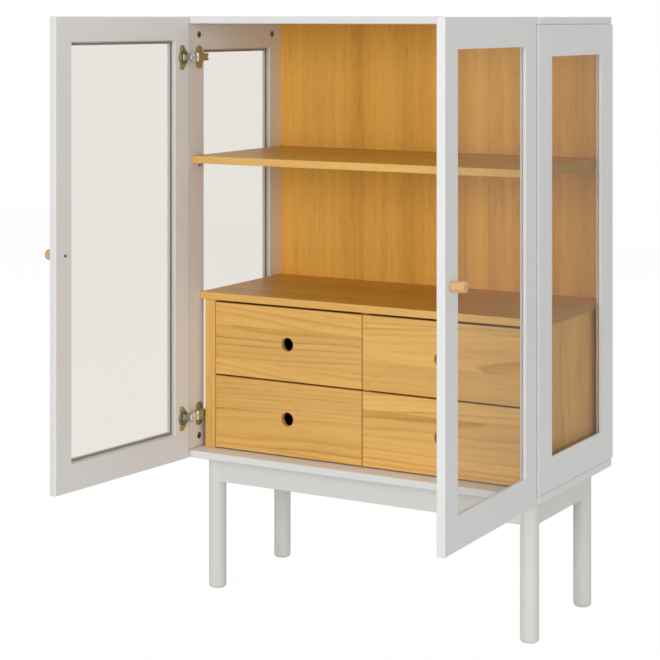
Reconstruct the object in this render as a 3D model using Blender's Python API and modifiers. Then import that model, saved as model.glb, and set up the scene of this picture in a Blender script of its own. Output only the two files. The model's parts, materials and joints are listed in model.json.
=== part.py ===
"""A two-door glazed china cabinet on four round legs, with four drawers on ball-bearing slides inside.

Metres, +Z up. Sizes are given in the cabinet's own frame: X to its right, Y to its back and Z up from the
floor, with the case's front edges in the plane Y = 0 and the middle of the case at X = 0. One empty carries
everything, and stands so that the world's origin is on the floor under the middle of the whole object.
The doors stand open and the drawers are pushed in.
"""

import math

import bmesh
import bpy
import numpy as np
from mathutils import Matrix, Vector

# Case
CASE_WIDTH = 0.900
CASE_DEPTH = 0.417
CASE_TOP = 1.335
BOARD_THICKNESS = 0.017
BOARD_CORNER_RADIUS = 0.013
BOARD_EDGE_RADIUS = 0.003
BACK_THICKNESS = 0.009
ARRIS_RADIUS = 0.001

# Legs and rails
LEG_HEIGHT = 0.312
LEG_DIAMETER = 0.041
LEG_INSET_SIDE = 0.052
LEG_INSET_FRONT = 0.0695
LEG_INSET_BACK = 0.057
FOOT_RADIUS = 0.007
RAIL_HEIGHT = 0.0605
RAIL_THICKNESS = 0.020
RAIL_OUTSET = 0.0177
TENON_THICKNESS = 0.008
TENON_SHOULDER = 0.006
TENON_END_FROM_LEG_AXIS = 0.007

# Side frames
SIDE_THICKNESS = 0.018
SIDE_EDGE_RADIUS = 0.003
SIDE_STILE = 0.069
SIDE_TOP_RAIL = 0.068
SIDE_BOTTOM_RAIL = 0.071
SIDE_GLASS_INSET = 0.007

# Glass
GLASS_THICKNESS = 0.004
REBATE_WIDTH = 0.008
GLASS_EDGE_GAP = 0.001

# Doors
DOOR_THICKNESS = 0.0185
DOOR_EDGE_RADIUS = 0.0025
DOOR_REVEAL = 0.0035
DOOR_MEETING_GAP = 0.002
DOOR_FRONT_GAP = 0.0025
DOOR_STILE = 0.057
DOOR_TOP_RAIL = 0.063
DOOR_BOTTOM_RAIL = 0.068
DOOR_GLASS_INSET = 0.007
DOOR_OPEN_ANGLES = {"left": math.radians(95.3), "right": math.radians(91.1)}

# Knobs
KNOB_FROM_FLOOR = 0.822
KNOB_LENGTH = 0.031
KNOB_BASE_DIAMETER = 0.020
KNOB_END_DIAMETER = 0.023
KNOB_END_RADIUS = 0.003
KNOB_SCREW_DIAMETER = 0.004
KNOB_SCREW_BITE = 0.015
KNOB_SCREW_HEAD_DIAMETER = 0.007
KNOB_SCREW_HEAD_HEIGHT = 0.0018

# Hinges: the pin stands in the cup, and the crank's eye turns round it
HINGE_FROM_DOOR_END = 0.095
PIN_FROM_DOOR_EDGE = 0.008
PIN_DEPTH = 0.0095
PIN_DIAMETER = 0.002
CUP_DIAMETER = 0.035
CUP_DEPTH = 0.0128
CUP_WALL = 0.0008
CUP_RIM = 0.0005
CUP_FROM_DOOR_EDGE = 0.003
FLANGE_THICKNESS = 0.001
EAR_SPAN = 0.057
EAR_WIDTH = 0.015
EAR_OFFSET = 0.006
EAR_CORNER_RADIUS = 0.005
FLANGE_NOSE_REACH = 0.015
FLANGE_NOSE_HEIGHT = 0.018
EAR_SCREW_SPACING = 0.046
SCREW_HEAD_DIAMETER = 0.007
SCREW_HEAD_HEIGHT = 0.0012
EYE_DIAMETER = 0.0044
CRANK_REACH = 0.018
CRANK_SLOPE = math.radians(4)
CRANK_THICKNESS = 0.0015
CRANK_HEIGHT = 0.014
ARM_FROM_FRONT = 0.020
ARM_LENGTH = 0.0465
ARM_HEIGHT = 0.022
ARM_RISE = 0.0117
ARM_LEVEL_LENGTH = 0.018
ARM_SLOPE_LENGTH = 0.009
ARM_CHANNEL_WALL = 0.0015
TAIL_HEIGHT = 0.017
TAIL_RISE = 0.0085
TAIL_NOTCH_DIAMETER = 0.009
PLATE_THICKNESS = 0.002
PLATE_HEIGHT = 0.054
PLATE_LENGTH = 0.025
PLATE_FROM_FRONT = 0.0275
PLATE_CORNER_RADIUS = 0.011
PLATE_SCREW_SPACING = 0.039

# Upper shelf and its pins
SHELF_UNDERSIDE = 0.994
SHELF_SETBACK = 0.011
SHELF_PIN_DIAMETER = 0.005
SHELF_PIN_LENGTH = 0.009
SHELF_PIN_INSET = 0.032

# Drawer unit
UNIT_TOP_UNDERSIDE = 0.674
UNIT_TOP_SETBACK = 0.047
UNIT_FRONT = 0.0485
UNIT_SIDE_GAP = 0.0125
UNIT_PANEL_THICKNESS = 0.028
PARTITION_THICKNESS = 0.018
PARTITION_SETBACK = 0.002

# Drawers
FRONT_HEIGHT = 0.1665
FRONT_THICKNESS = 0.015
FRONT_EDGE_RADIUS = 0.0015
FRONT_SIDE_GAP = 0.0015
FRONT_MEETING_GAP = 0.002
FRONT_BOTTOM_GAP = 0.003
FRONT_BETWEEN_GAP = 0.004
FINGER_HOLE_DIAMETER = 0.031
FINGER_HOLE_CHAMFER = 0.0015
BOX_BACK_GAP = 0.0092
BOX_HEIGHT = 0.130
BOX_LIFT = 0.006
BOX_WALL = 0.012
BOX_BACK_DROP = 0.020
BOX_BOTTOM_THICKNESS = 0.005
BOX_BOTTOM_LIFT = 0.008

# Slides: three nested channels, each carrying the next
SLIDE_SPACE = 0.0127
SLIDE_SETBACK = 0.002
SLIDE_CENTRE = 0.073
CABINET_MEMBER_HEIGHT = 0.045
CABINET_MEMBER_DEPTH = 0.0092
INTERMEDIATE_MEMBER_DEPTH = 0.0086
DRAWER_MEMBER_DEPTH = 0.0088
MEMBER_WEB = 0.0015
MEMBER_LIP = 0.0039
MEMBER_BITE = 0.001

# Clearances
SEAT_GAP = 0.0003
OVERRUN = 0.002

# How finely round shapes are divided
ROUND_STEPS = 28
SMALL_ROUND_STEPS = 12
FILLET_STEPS = 3

HALF_WIDTH = CASE_WIDTH / 2
CASE_FLOOR = LEG_HEIGHT + BOARD_THICKNESS
CASE_CEILING = CASE_TOP - BOARD_THICKNESS
SIDE_INNER = HALF_WIDTH - SIDE_THICKNESS
BACK_FACE = CASE_DEPTH - BACK_THICKNESS

LEG_X = HALF_WIDTH - LEG_INSET_SIDE
LEG_Y = {"front": LEG_INSET_FRONT, "back": CASE_DEPTH - LEG_INSET_BACK}
RAIL_TOP = LEG_HEIGHT - SEAT_GAP
RAIL_BOTTOM = RAIL_TOP - RAIL_HEIGHT

DOOR_WIDTH = HALF_WIDTH - DOOR_REVEAL - DOOR_MEETING_GAP / 2
DOOR_HEIGHT = CASE_TOP - LEG_HEIGHT
PIN_X = HALF_WIDTH - DOOR_REVEAL - PIN_FROM_DOOR_EDGE
PIN_Y = -DOOR_FRONT_GAP - PIN_DEPTH
DOOR_INNER_FACE = PIN_DEPTH
DOOR_OUTER_FACE = PIN_DEPTH - DOOR_THICKNESS
DOOR_FREE_EDGE = PIN_FROM_DOOR_EDGE - DOOR_WIDTH
HINGE_HEIGHTS = {
    "upper": CASE_TOP - HINGE_FROM_DOOR_END,
    "lower": LEG_HEIGHT + HINGE_FROM_DOOR_END,
}
CUP_MIDDLE = PIN_FROM_DOOR_EDGE - CUP_FROM_DOOR_EDGE - CUP_DIAMETER / 2

UNIT_OUTER = SIDE_INNER - UNIT_SIDE_GAP
UNIT_INNER = UNIT_OUTER - UNIT_PANEL_THICKNESS
PARTITION_FACE = PARTITION_THICKNESS / 2
FRONT_BACK_FACE = UNIT_FRONT + FRONT_THICKNESS
PARTITION_FRONT = FRONT_BACK_FACE + PARTITION_SETBACK
BOX_FRONT = FRONT_BACK_FACE + SEAT_GAP
BOX_BACK = BACK_FACE - BOX_BACK_GAP
BOX_INNER_END = PARTITION_FACE + SLIDE_SPACE
BOX_OUTER_END = UNIT_INNER - SLIDE_SPACE
SLIDE_FRONT = BOX_FRONT + SLIDE_SETBACK
SLIDE_LENGTH = BOX_BACK - SLIDE_FRONT
FRONT_INNER_END = FRONT_MEETING_GAP / 2
FRONT_OUTER_END = UNIT_INNER - FRONT_SIDE_GAP
DRAWER_MIDDLE = (FRONT_INNER_END + FRONT_OUTER_END) / 2
FRONT_BOTTOMS = {
    "lower": CASE_FLOOR + FRONT_BOTTOM_GAP,
    "upper": CASE_FLOOR + FRONT_BOTTOM_GAP + FRONT_HEIGHT + FRONT_BETWEEN_GAP,
}

SIDES = {"left": -1, "right": 1}

# Finishes: colour, roughness, metallic, transmission
FINISHES = {
    "white_paint": ((0.80, 0.80, 0.79, 1), 0.42, 0, 0),
    "cream_paint": ((0.70, 0.69, 0.65, 1), 0.45, 0, 0),
    "pine": ((0.64, 0.40, 0.16, 1), 0.45, 0, 0),
    "pale_pine": ((0.74, 0.52, 0.27, 1), 0.40, 0, 0),
    "clear_glass": ((0.93, 0.96, 0.95, 1), 0.02, 0, 0.95),
    "zinc": ((0.55, 0.56, 0.56, 1), 0.32, 1, 0),
    "yellow_zinc": ((0.62, 0.54, 0.33, 1), 0.35, 1, 0),
}


def clear_scene():
    for obj in list(bpy.data.objects):
        bpy.data.objects.remove(obj, do_unlink=True)


def new_collection(name):
    collection = bpy.data.collections.new(name)
    bpy.context.scene.collection.children.link(collection)
    return collection


def finish(obj, kind):
    """Gives the piece a material of its own in one of the cabinet's finishes."""
    colour, roughness, metallic, transmission = FINISHES[kind]
    material = bpy.data.materials.new(f"{obj.name}_{kind}")
    material.use_nodes = True
    shader = material.node_tree.nodes["Principled BSDF"]
    shader.inputs["Base Color"].default_value = colour
    shader.inputs["Roughness"].default_value = roughness
    shader.inputs["Metallic"].default_value = metallic
    shader.inputs["Transmission Weight"].default_value = transmission
    material.diffuse_color = colour
    obj.data.materials.clear()
    obj.data.materials.append(material)


def add_object(name, mesh, location=(0, 0, 0), parent=None):
    """A piece of the cabinet, carried by the cabinet's empty unless it has a parent of its own."""
    obj = bpy.data.objects.new(name, mesh)
    obj.location = location
    obj.parent = parent or cabinet_frame
    cabinet.objects.link(obj)
    return obj


def as_cutter(obj):
    """Moves a shape that only serves a Boolean out of the cabinet's own collection."""
    cabinet.objects.unlink(obj)
    cutters.objects.link(obj)
    obj.hide_render = True
    obj.display_type = "WIRE"
    return obj


def apply_boolean(obj, other, operation):
    modifier = obj.modifiers.new(f"{operation.lower()}_{other.name}", "BOOLEAN")
    modifier.operation = operation
    modifier.solver = "EXACT"
    modifier.object = as_cutter(other)


def cut(obj, other):
    apply_boolean(obj, other, "DIFFERENCE")


def join(obj, other):
    apply_boolean(obj, other, "UNION")


def empty(name, location, turn=0):
    obj = bpy.data.objects.new(name, None)
    obj.location = location
    obj.rotation_euler.z = turn
    obj.empty_display_size = HALF_WIDTH
    cabinet.objects.link(obj)
    return obj


def span(side, first, second):
    """The two X values of a piece that runs from first to second on one side of the middle, in order."""
    return sorted((side * first, side * second))


def block(name, low, high, parent=None):
    """A box between two opposite corners, with its origin at its middle."""
    low = Vector(low)
    high = Vector(high)
    mesh = bpy.data.meshes.new(name)
    shape = bmesh.new()
    bmesh.ops.create_cube(shape, size=1)
    bmesh.ops.scale(shape, vec=high - low, verts=shape.verts)
    shape.to_mesh(mesh)
    shape.free()
    return add_object(name, mesh, (low + high) / 2, parent)


def ease(obj, radius, steps=1):
    """Rounds every edge of a box."""
    modifier = obj.modifiers.new("eased_edges", "BEVEL")
    modifier.width = radius
    modifier.segments = steps
    modifier.limit_method = "ANGLE"


def round_upright_corners(obj, radius, steps):
    """Rounds only the four upright edges of a box."""
    edges = obj.data.edges
    weights = obj.data.attributes.new("bevel_weight_edge", "FLOAT", "EDGE")
    for edge in edges:
        first, second = (obj.data.vertices[index].co for index in edge.vertices)
        upright = abs(first.z - second.z) > 0
        weights.data[edge.index].value = float(upright)
    modifier = obj.modifiers.new("rounded_corners", "BEVEL")
    modifier.width = radius
    modifier.segments = steps
    modifier.limit_method = "WEIGHT"


def cylinder(name, centre, axis, radius, length, steps, parent=None):
    """A cylinder about a line through centre, along the X, Y or Z axis."""
    mesh = bpy.data.meshes.new(name)
    shape = bmesh.new()
    bmesh.ops.create_cone(
        shape,
        cap_ends=True,
        segments=steps,
        radius1=radius,
        radius2=radius,
        depth=length,
    )
    shape.to_mesh(mesh)
    shape.free()
    obj = add_object(name, mesh, centre, parent)
    obj.rotation_euler = Vector((0, 0, 1)).rotation_difference(Vector(axis)).to_euler()
    smooth(obj)
    return obj


def turned(name, profile, centre, axis, steps, parent=None):
    """A turned shape. The profile's points are (radius, height), from the top of the axis down to its foot."""
    mesh = bpy.data.meshes.new(name)
    points = [(radius, 0, height) for radius, height in profile]
    edges = [(index, index + 1) for index in range(len(points) - 1)]
    mesh.from_pydata(points, edges, [])
    obj = add_object(name, mesh, centre, parent)
    obj.rotation_euler = Vector((0, 0, 1)).rotation_difference(Vector(axis)).to_euler()
    modifier = obj.modifiers.new("turned", "SCREW")
    modifier.steps = steps
    modifier.render_steps = steps
    modifier.use_merge_vertices = True
    modifier.merge_threshold = 0.0001
    modifier.use_smooth_shade = True
    return obj


def outline_solid(name, points, thickness, to_parent, parent=None):
    """A closed flat outline with thickness, made a mesh, and set in place by a matrix."""
    curve = bpy.data.curves.new(name, "CURVE")
    curve.dimensions = "2D"
    curve.fill_mode = "BOTH"
    curve.extrude = thickness / 2
    spline = curve.splines.new("POLY")
    spline.points.add(len(points) - 1)
    for point, (x, y) in zip(spline.points, points):
        point.co = (x, y, 0, 1)
    spline.use_cyclic_u = True
    source = add_object(f"{name}_outline", curve)
    bpy.context.view_layer.update()
    graph = bpy.context.evaluated_depsgraph_get()
    mesh = bpy.data.meshes.new_from_object(source.evaluated_get(graph))
    bpy.data.objects.remove(source, do_unlink=True)
    shape = bmesh.new()
    shape.from_mesh(mesh)
    bmesh.ops.remove_doubles(shape, verts=shape.verts, dist=SEAT_GAP / 10)
    bmesh.ops.recalc_face_normals(shape, faces=shape.faces)
    shape.to_mesh(mesh)
    shape.free()
    mesh.name = name
    obj = add_object(name, mesh, parent=parent)
    obj.matrix_basis = to_parent
    return obj


def arc(centre, radius, start, end, steps):
    """Points along an arc from one angle to another, in degrees."""
    angles = [math.radians(start + (end - start) * step / steps) for step in range(steps + 1)]
    x, y = centre
    return [(x + radius * math.cos(angle), y + radius * math.sin(angle)) for angle in angles]


def rounded_rectangle(width, height, radius, steps):
    x = width / 2 - radius
    y = height / 2 - radius
    return [
        *arc((x, y), radius, 0, 90, steps),
        *arc((-x, y), radius, 90, 180, steps),
        *arc((-x, -y), radius, 180, 270, steps),
        *arc((x, -y), radius, 270, 360, steps),
    ]


def flange_outline(side):
    """The cup's flange: two ears on the side away from the hinge edge, sloping in to a blunt nose."""
    far = -EAR_OFFSET - EAR_WIDTH / 2
    near = EAR_WIDTH / 2 - EAR_OFFSET
    radius = EAR_CORNER_RADIUS
    top = EAR_SPAN / 2 - radius
    half = [
        (FLANGE_NOSE_REACH, FLANGE_NOSE_HEIGHT / 2),
        *arc((near - radius, top), radius, 45, 90, FILLET_STEPS),
        *arc((far + radius, top), radius, 90, 180, FILLET_STEPS),
    ]
    outline = half + [(x, -z) for x, z in reversed(half)]
    return [(side * x, z) for x, z in outline]


def strip_outline(path, width):
    """The outline of a strip of even width that follows a line with corners."""
    points = [Vector(point) for point in path]
    directions = [(after - before).normalized() for before, after in zip(points, points[1:])]
    ahead = [*directions, directions[-1]]
    behind = [directions[0], *directions]
    left = []
    right = []
    for point, first, second in zip(points, behind, ahead):
        middle = (first + second).normalized()
        across = Vector((-middle.y, middle.x))
        reach = width / 2 / middle.dot(first)
        left.append(tuple(point + across * reach))
        right.append(tuple(point - across * reach))
    return left + right[::-1]


def smooth(obj):
    obj.data.shade_smooth()
    obj.data.set_sharp_from_angle(angle=math.radians(40))


def make_panels():
    """The white top and bottom panels, with their rounded upright corners."""
    for name, bottom in (("top_panel", CASE_CEILING), ("bottom_panel", LEG_HEIGHT)):
        panel = block(
            name,
            (-HALF_WIDTH, 0, bottom),
            (HALF_WIDTH, CASE_DEPTH, bottom + BOARD_THICKNESS),
        )
        round_upright_corners(panel, BOARD_CORNER_RADIUS, FILLET_STEPS * 2)
        ease(panel, BOARD_EDGE_RADIUS, FILLET_STEPS)
        finish(panel, "white_paint")


def make_side_frame(label, side):
    """A glazed side: stiles and rails as one frame, rebated from inside for the pane, with the shelf's pins."""
    bottom = CASE_FLOOR + SEAT_GAP
    top = CASE_CEILING - SEAT_GAP
    left, right = span(side, SIDE_INNER, HALF_WIDTH)
    frame = block(f"{label}_side_frame", (left, 0, bottom), (right, CASE_DEPTH, top))
    ease(frame, SIDE_EDGE_RADIUS, FILLET_STEPS)
    opening_low = Vector((left - OVERRUN, SIDE_STILE, CASE_FLOOR + SIDE_BOTTOM_RAIL))
    opening_high = Vector((right + OVERRUN, CASE_DEPTH - SIDE_STILE, CASE_CEILING - SIDE_TOP_RAIL))
    cut(frame, block(f"{frame.name}_opening", opening_low, opening_high))

    outer = HALF_WIDTH - SIDE_GLASS_INSET
    inner = outer - GLASS_THICKNESS
    rebate = span(side, SIDE_INNER - OVERRUN, outer + SEAT_GAP)
    grow = Vector((0, REBATE_WIDTH, REBATE_WIDTH))
    low = opening_low - grow
    high = opening_high + grow
    low.x, high.x = rebate
    cut(frame, block(f"{frame.name}_rebate", low, high))
    for place in (SHELF_SETBACK + SHELF_PIN_INSET, BACK_FACE - SHELF_PIN_INSET):
        pin = cylinder(
            f"{frame.name}_pin_{'front' if place < CASE_DEPTH / 2 else 'back'}",
            (
                side * (SIDE_INNER - SHELF_PIN_LENGTH / 2 + MEMBER_BITE),
                place,
                SHELF_UNDERSIDE - SEAT_GAP - SHELF_PIN_DIAMETER / 2,
            ),
            (1, 0, 0),
            SHELF_PIN_DIAMETER / 2,
            SHELF_PIN_LENGTH + MEMBER_BITE * 2,
            SMALL_ROUND_STEPS,
        )
        join(frame, pin)
    finish(frame, "white_paint")

    margin = REBATE_WIDTH - GLASS_EDGE_GAP
    pane_grow = Vector((0, margin, margin))
    pane_low = opening_low - pane_grow
    pane_high = opening_high + pane_grow
    pane_low.x, pane_high.x = span(side, inner, outer)
    pane = block(f"{label}_side_glass", pane_low, pane_high)
    finish(pane, "clear_glass")


def make_back_and_shelves():
    """The pine back panel, the shelf on its pins and the drawer unit's top, each as wide as the inside."""
    reach = SIDE_INNER - SEAT_GAP
    back = block(
        "back_panel",
        (-reach, BACK_FACE, CASE_FLOOR + SEAT_GAP),
        (reach, CASE_DEPTH, CASE_CEILING - SEAT_GAP),
    )
    finish(back, "pine")
    for name, front, bottom in (
        ("upper_shelf", SHELF_SETBACK, SHELF_UNDERSIDE),
        ("drawer_unit_top", UNIT_TOP_SETBACK, UNIT_TOP_UNDERSIDE),
    ):
        shelf = block(
            name,
            (-reach, front, bottom),
            (reach, BACK_FACE - SEAT_GAP, bottom + BOARD_THICKNESS),
        )
        ease(shelf, ARRIS_RADIUS)
        finish(shelf, "pine")


def member_section(height, depth):
    """One slide member's C-shaped section, its web along x = 0 and its lips reaching to x = depth."""
    half = height / 2
    inner = half - MEMBER_LIP
    return [
        (0, -half),
        (depth, -half),
        (depth, -inner),
        (MEMBER_WEB, -inner),
        (MEMBER_WEB, inner),
        (depth, inner),
        (depth, half),
        (0, half),
    ]


def make_member(name, height, depth, web_x, towards, level, parent=None):
    """A slide member whose web's outer face is at web_x, with its lips reaching towards +X or -X."""
    middle = SLIDE_FRONT + SLIDE_LENGTH / 2
    along = Matrix(((towards, 0, 0, web_x), (0, 0, 1, middle), (0, 1, 0, level), (0, 0, 0, 1)))
    if parent:
        along = Matrix.Translation(-parent.location) @ along
    section = member_section(height, depth)
    return outline_solid(name, section, SLIDE_LENGTH, along, parent)


def slide_level(level):
    return FRONT_BOTTOMS[level] + SLIDE_CENTRE


def add_cabinet_members(board, face_x, towards):
    """Joins the fixed slide members, one for each drawer level, to the board that carries them."""
    for level in FRONT_BOTTOMS:
        member = make_member(
            f"{board.name}_{level}_member_{'plus' if towards > 0 else 'minus'}",
            CABINET_MEMBER_HEIGHT,
            CABINET_MEMBER_DEPTH + MEMBER_BITE,
            face_x - towards * MEMBER_BITE,
            towards,
            slide_level(level),
        )
        join(board, member)


def make_drawer_unit():
    """The drawer unit's two outer panels and its partition, each with the fixed members of its slides."""
    bottom = CASE_FLOOR + SEAT_GAP
    top = UNIT_TOP_UNDERSIDE - SEAT_GAP
    back = BACK_FACE - SEAT_GAP
    for label, side in SIDES.items():
        left, right = span(side, UNIT_INNER, UNIT_OUTER)
        panel = block(f"drawer_unit_{label}_panel", (left, UNIT_FRONT, bottom), (right, back, top))
        ease(panel, ARRIS_RADIUS)
        add_cabinet_members(panel, side * UNIT_INNER, -side)
        finish(panel, "pine")
    partition = block(
        "drawer_unit_partition",
        (-PARTITION_FACE, PARTITION_FRONT, bottom),
        (PARTITION_FACE, back, top),
    )
    ease(partition, ARRIS_RADIUS)
    for side in SIDES.values():
        add_cabinet_members(partition, side * PARTITION_FACE, side)
    finish(partition, "pine")


def make_drawer_front(name, side, level, slider):
    """A drawer front with its round finger hole, chamfered at both faces."""
    bottom = FRONT_BOTTOMS[level]
    left, right = span(side, FRONT_INNER_END, FRONT_OUTER_END)
    origin = slider.location
    front = block(
        name,
        Vector((left, UNIT_FRONT, bottom)) - origin,
        Vector((right, FRONT_BACK_FACE, bottom + FRONT_HEIGHT)) - origin,
        slider,
    )
    ease(front, FRONT_EDGE_RADIUS, FILLET_STEPS)
    radius = FINGER_HOLE_DIAMETER / 2
    half = FRONT_THICKNESS / 2
    flare = radius + FINGER_HOLE_CHAMFER + OVERRUN
    profile = [
        (0, half + OVERRUN),
        (flare, half + OVERRUN),
        (radius, half - FINGER_HOLE_CHAMFER),
        (radius, FINGER_HOLE_CHAMFER - half),
        (flare, -half - OVERRUN),
        (0, -half - OVERRUN),
    ]
    middle = Vector((side * DRAWER_MIDDLE, UNIT_FRONT + half, bottom + FRONT_HEIGHT / 2)) - origin
    cut(front, turned(f"{name}_finger_hole", profile, middle, (0, -1, 0), ROUND_STEPS, slider))
    finish(front, "pale_pine")


def make_drawer_box(name, side, level, slider):
    """An open tray: two sides, a lower back and a thin bottom. The drawer front closes its front end."""
    left, right = span(side, BOX_INNER_END, BOX_OUTER_END)
    bottom = FRONT_BOTTOMS[level] + BOX_LIFT
    top = bottom + BOX_HEIGHT
    board_bottom = bottom + BOX_BOTTOM_LIFT
    board_top = board_bottom + BOX_BOTTOM_THICKNESS
    origin = slider.location

    def piece(label, low, high):
        return block(f"{name}{label}", Vector(low) - origin, Vector(high) - origin, slider)

    box = piece("", (left, BOX_FRONT, bottom), (right, BOX_BACK, top))
    ease(box, ARRIS_RADIUS)
    inner_left = left + BOX_WALL
    inner_right = right - BOX_WALL
    cavity = piece(
        "_cavity",
        (inner_left, BOX_FRONT - OVERRUN, board_top),
        (inner_right, BOX_BACK - BOX_WALL, top + OVERRUN),
    )
    under = piece(
        "_under",
        (inner_left, BOX_FRONT - OVERRUN, bottom - OVERRUN),
        (inner_right, BOX_BACK + OVERRUN, board_bottom),
    )
    over_back = piece(
        "_over_back",
        (inner_left, BOX_BACK - BOX_WALL - OVERRUN, top - BOX_BACK_DROP),
        (inner_right, BOX_BACK + OVERRUN, top + OVERRUN * 2),
    )
    for cutter in (cavity, under, over_back):
        cut(box, cutter)
    finish(box, "pine")


def make_drawer(label, side, level):
    """One drawer, with its own members of the two slides and their intermediate members."""
    name = f"{label}_{level}"
    place = (side * DRAWER_MIDDLE, UNIT_FRONT, slide_level(level))
    slider = empty(f"{name}_drawer_slide_axis", place)
    slider.parent = cabinet_frame
    runner = empty(f"{name}_runner_slide_axis", place)
    runner.parent = cabinet_frame
    make_drawer_front(f"{name}_drawer_front", side, level, slider)
    make_drawer_box(f"{name}_drawer_box", side, level, slider)
    intermediate_height = CABINET_MEMBER_HEIGHT - (MEMBER_LIP + SEAT_GAP) * 2
    drawer_height = intermediate_height - (MEMBER_LIP + SEAT_GAP) * 2
    middle_web = MEMBER_WEB + SEAT_GAP
    for position, board_face, outwards in (
        ("inboard", side * PARTITION_FACE, side),
        ("outboard", side * UNIT_INNER, -side),
    ):
        intermediate = make_member(
            f"{name}_{position}_intermediate_member",
            intermediate_height,
            INTERMEDIATE_MEMBER_DEPTH,
            board_face + outwards * middle_web,
            outwards,
            slide_level(level),
            runner,
        )
        finish(intermediate, "zinc")
        inner = make_member(
            f"{name}_{position}_drawer_member",
            drawer_height,
            DRAWER_MEMBER_DEPTH,
            board_face + outwards * (SLIDE_SPACE - SEAT_GAP),
            -outwards,
            slide_level(level),
            slider,
        )
        finish(inner, "zinc")


def make_legs():
    """Four turned round legs, each mortised for the two rails that meet in it."""
    radius = LEG_DIAMETER / 2
    top = LEG_HEIGHT - SEAT_GAP
    foot = arc((radius - FOOT_RADIUS, FOOT_RADIUS), FOOT_RADIUS, 0, -90, FILLET_STEPS + 1)
    profile = [(0, top), (radius - ARRIS_RADIUS, top), (radius, top - ARRIS_RADIUS), *foot, (0, 0)]
    for label, side in SIDES.items():
        for end, y in LEG_Y.items():
            leg = turned(f"{end}_{label}_leg", profile, (side * LEG_X, y, 0), (0, 0, 1), ROUND_STEPS)
            inwards = 1 if end == "front" else -1
            for across, along in ((0, 1), (1, 0)):
                mortise = tenon_block(f"{leg.name}_mortise_{across}", side, y, inwards, along, SEAT_GAP)
                cut(leg, mortise)
            finish(leg, "cream_paint")


def tenon_block(name, side, leg_y, inwards, along_x, gap=0):
    """The tenon of one rail in one leg, as a block from past the leg's face to the tenon's end."""
    first = RAIL_OUTSET - RAIL_THICKNESS / 2 - TENON_THICKNESS / 2 - gap
    second = first + TENON_THICKNESS + gap * 2
    end = TENON_END_FROM_LEG_AXIS - gap
    start = LEG_DIAMETER
    if along_x:
        x = sorted((side * (LEG_X - end), side * (LEG_X - start)))
        y = sorted((leg_y - inwards * first, leg_y - inwards * second))
    else:
        x = sorted((side * (LEG_X + first), side * (LEG_X + second)))
        y = sorted((leg_y + inwards * end, leg_y + inwards * start))
    bottom = RAIL_BOTTOM + TENON_SHOULDER - gap
    top = RAIL_TOP - TENON_SHOULDER + gap
    return block(name, (x[0], y[0], bottom), (x[1], y[1], top))


def scribe(rail, leg_places):
    """Hollows the rail's ends to the round legs."""
    for index, (x, y) in enumerate(leg_places):
        centre = (x, y, (RAIL_TOP + RAIL_BOTTOM) / 2)
        radius = LEG_DIAMETER / 2 + SEAT_GAP
        length = RAIL_HEIGHT + OVERRUN * 2
        hollow = cylinder(f"{rail.name}_hollow_{index}", centre, (0, 0, 1), radius, length, ROUND_STEPS)
        hollow.data.transform(Matrix.Scale(1 / math.cos(math.pi / ROUND_STEPS), 4))
        cut(rail, hollow)


def make_rails():
    """Four rails, scribed to the round legs and tenoned into them."""
    for end, leg_y in LEG_Y.items():
        inwards = 1 if end == "front" else -1
        y = sorted((leg_y - inwards * RAIL_OUTSET, leg_y - inwards * (RAIL_OUTSET - RAIL_THICKNESS)))
        rail = block(f"{end}_rail", (-LEG_X, y[0], RAIL_BOTTOM), (LEG_X, y[1], RAIL_TOP))
        ease(rail, ARRIS_RADIUS)
        scribe(rail, [(side * LEG_X, leg_y) for side in SIDES.values()])
        for label, side in SIDES.items():
            join(rail, tenon_block(f"{rail.name}_tenon_{label}", side, leg_y, inwards, True))
        finish(rail, "cream_paint")
    for label, side in SIDES.items():
        left, right = span(side, LEG_X + RAIL_OUTSET - RAIL_THICKNESS, LEG_X + RAIL_OUTSET)
        low = (left, LEG_Y["front"], RAIL_BOTTOM)
        high = (right, LEG_Y["back"], RAIL_TOP)
        rail = block(f"{label}_rail", low, high)
        ease(rail, ARRIS_RADIUS)
        scribe(rail, [(side * LEG_X, y) for y in LEG_Y.values()])
        for end, leg_y in LEG_Y.items():
            inwards = 1 if end == "front" else -1
            join(rail, tenon_block(f"{rail.name}_tenon_{end}", side, leg_y, inwards, False))
        finish(rail, "cream_paint")


def door_block(name, side, low, high, parent):
    """A box of a door, given as it hangs closed: X from the pin out to the hinge edge, Y back, Z up."""
    left, right = span(side, low[0], high[0])
    return block(name, (left, low[1], low[2]), (right, high[1], high[2]), parent)


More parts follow.
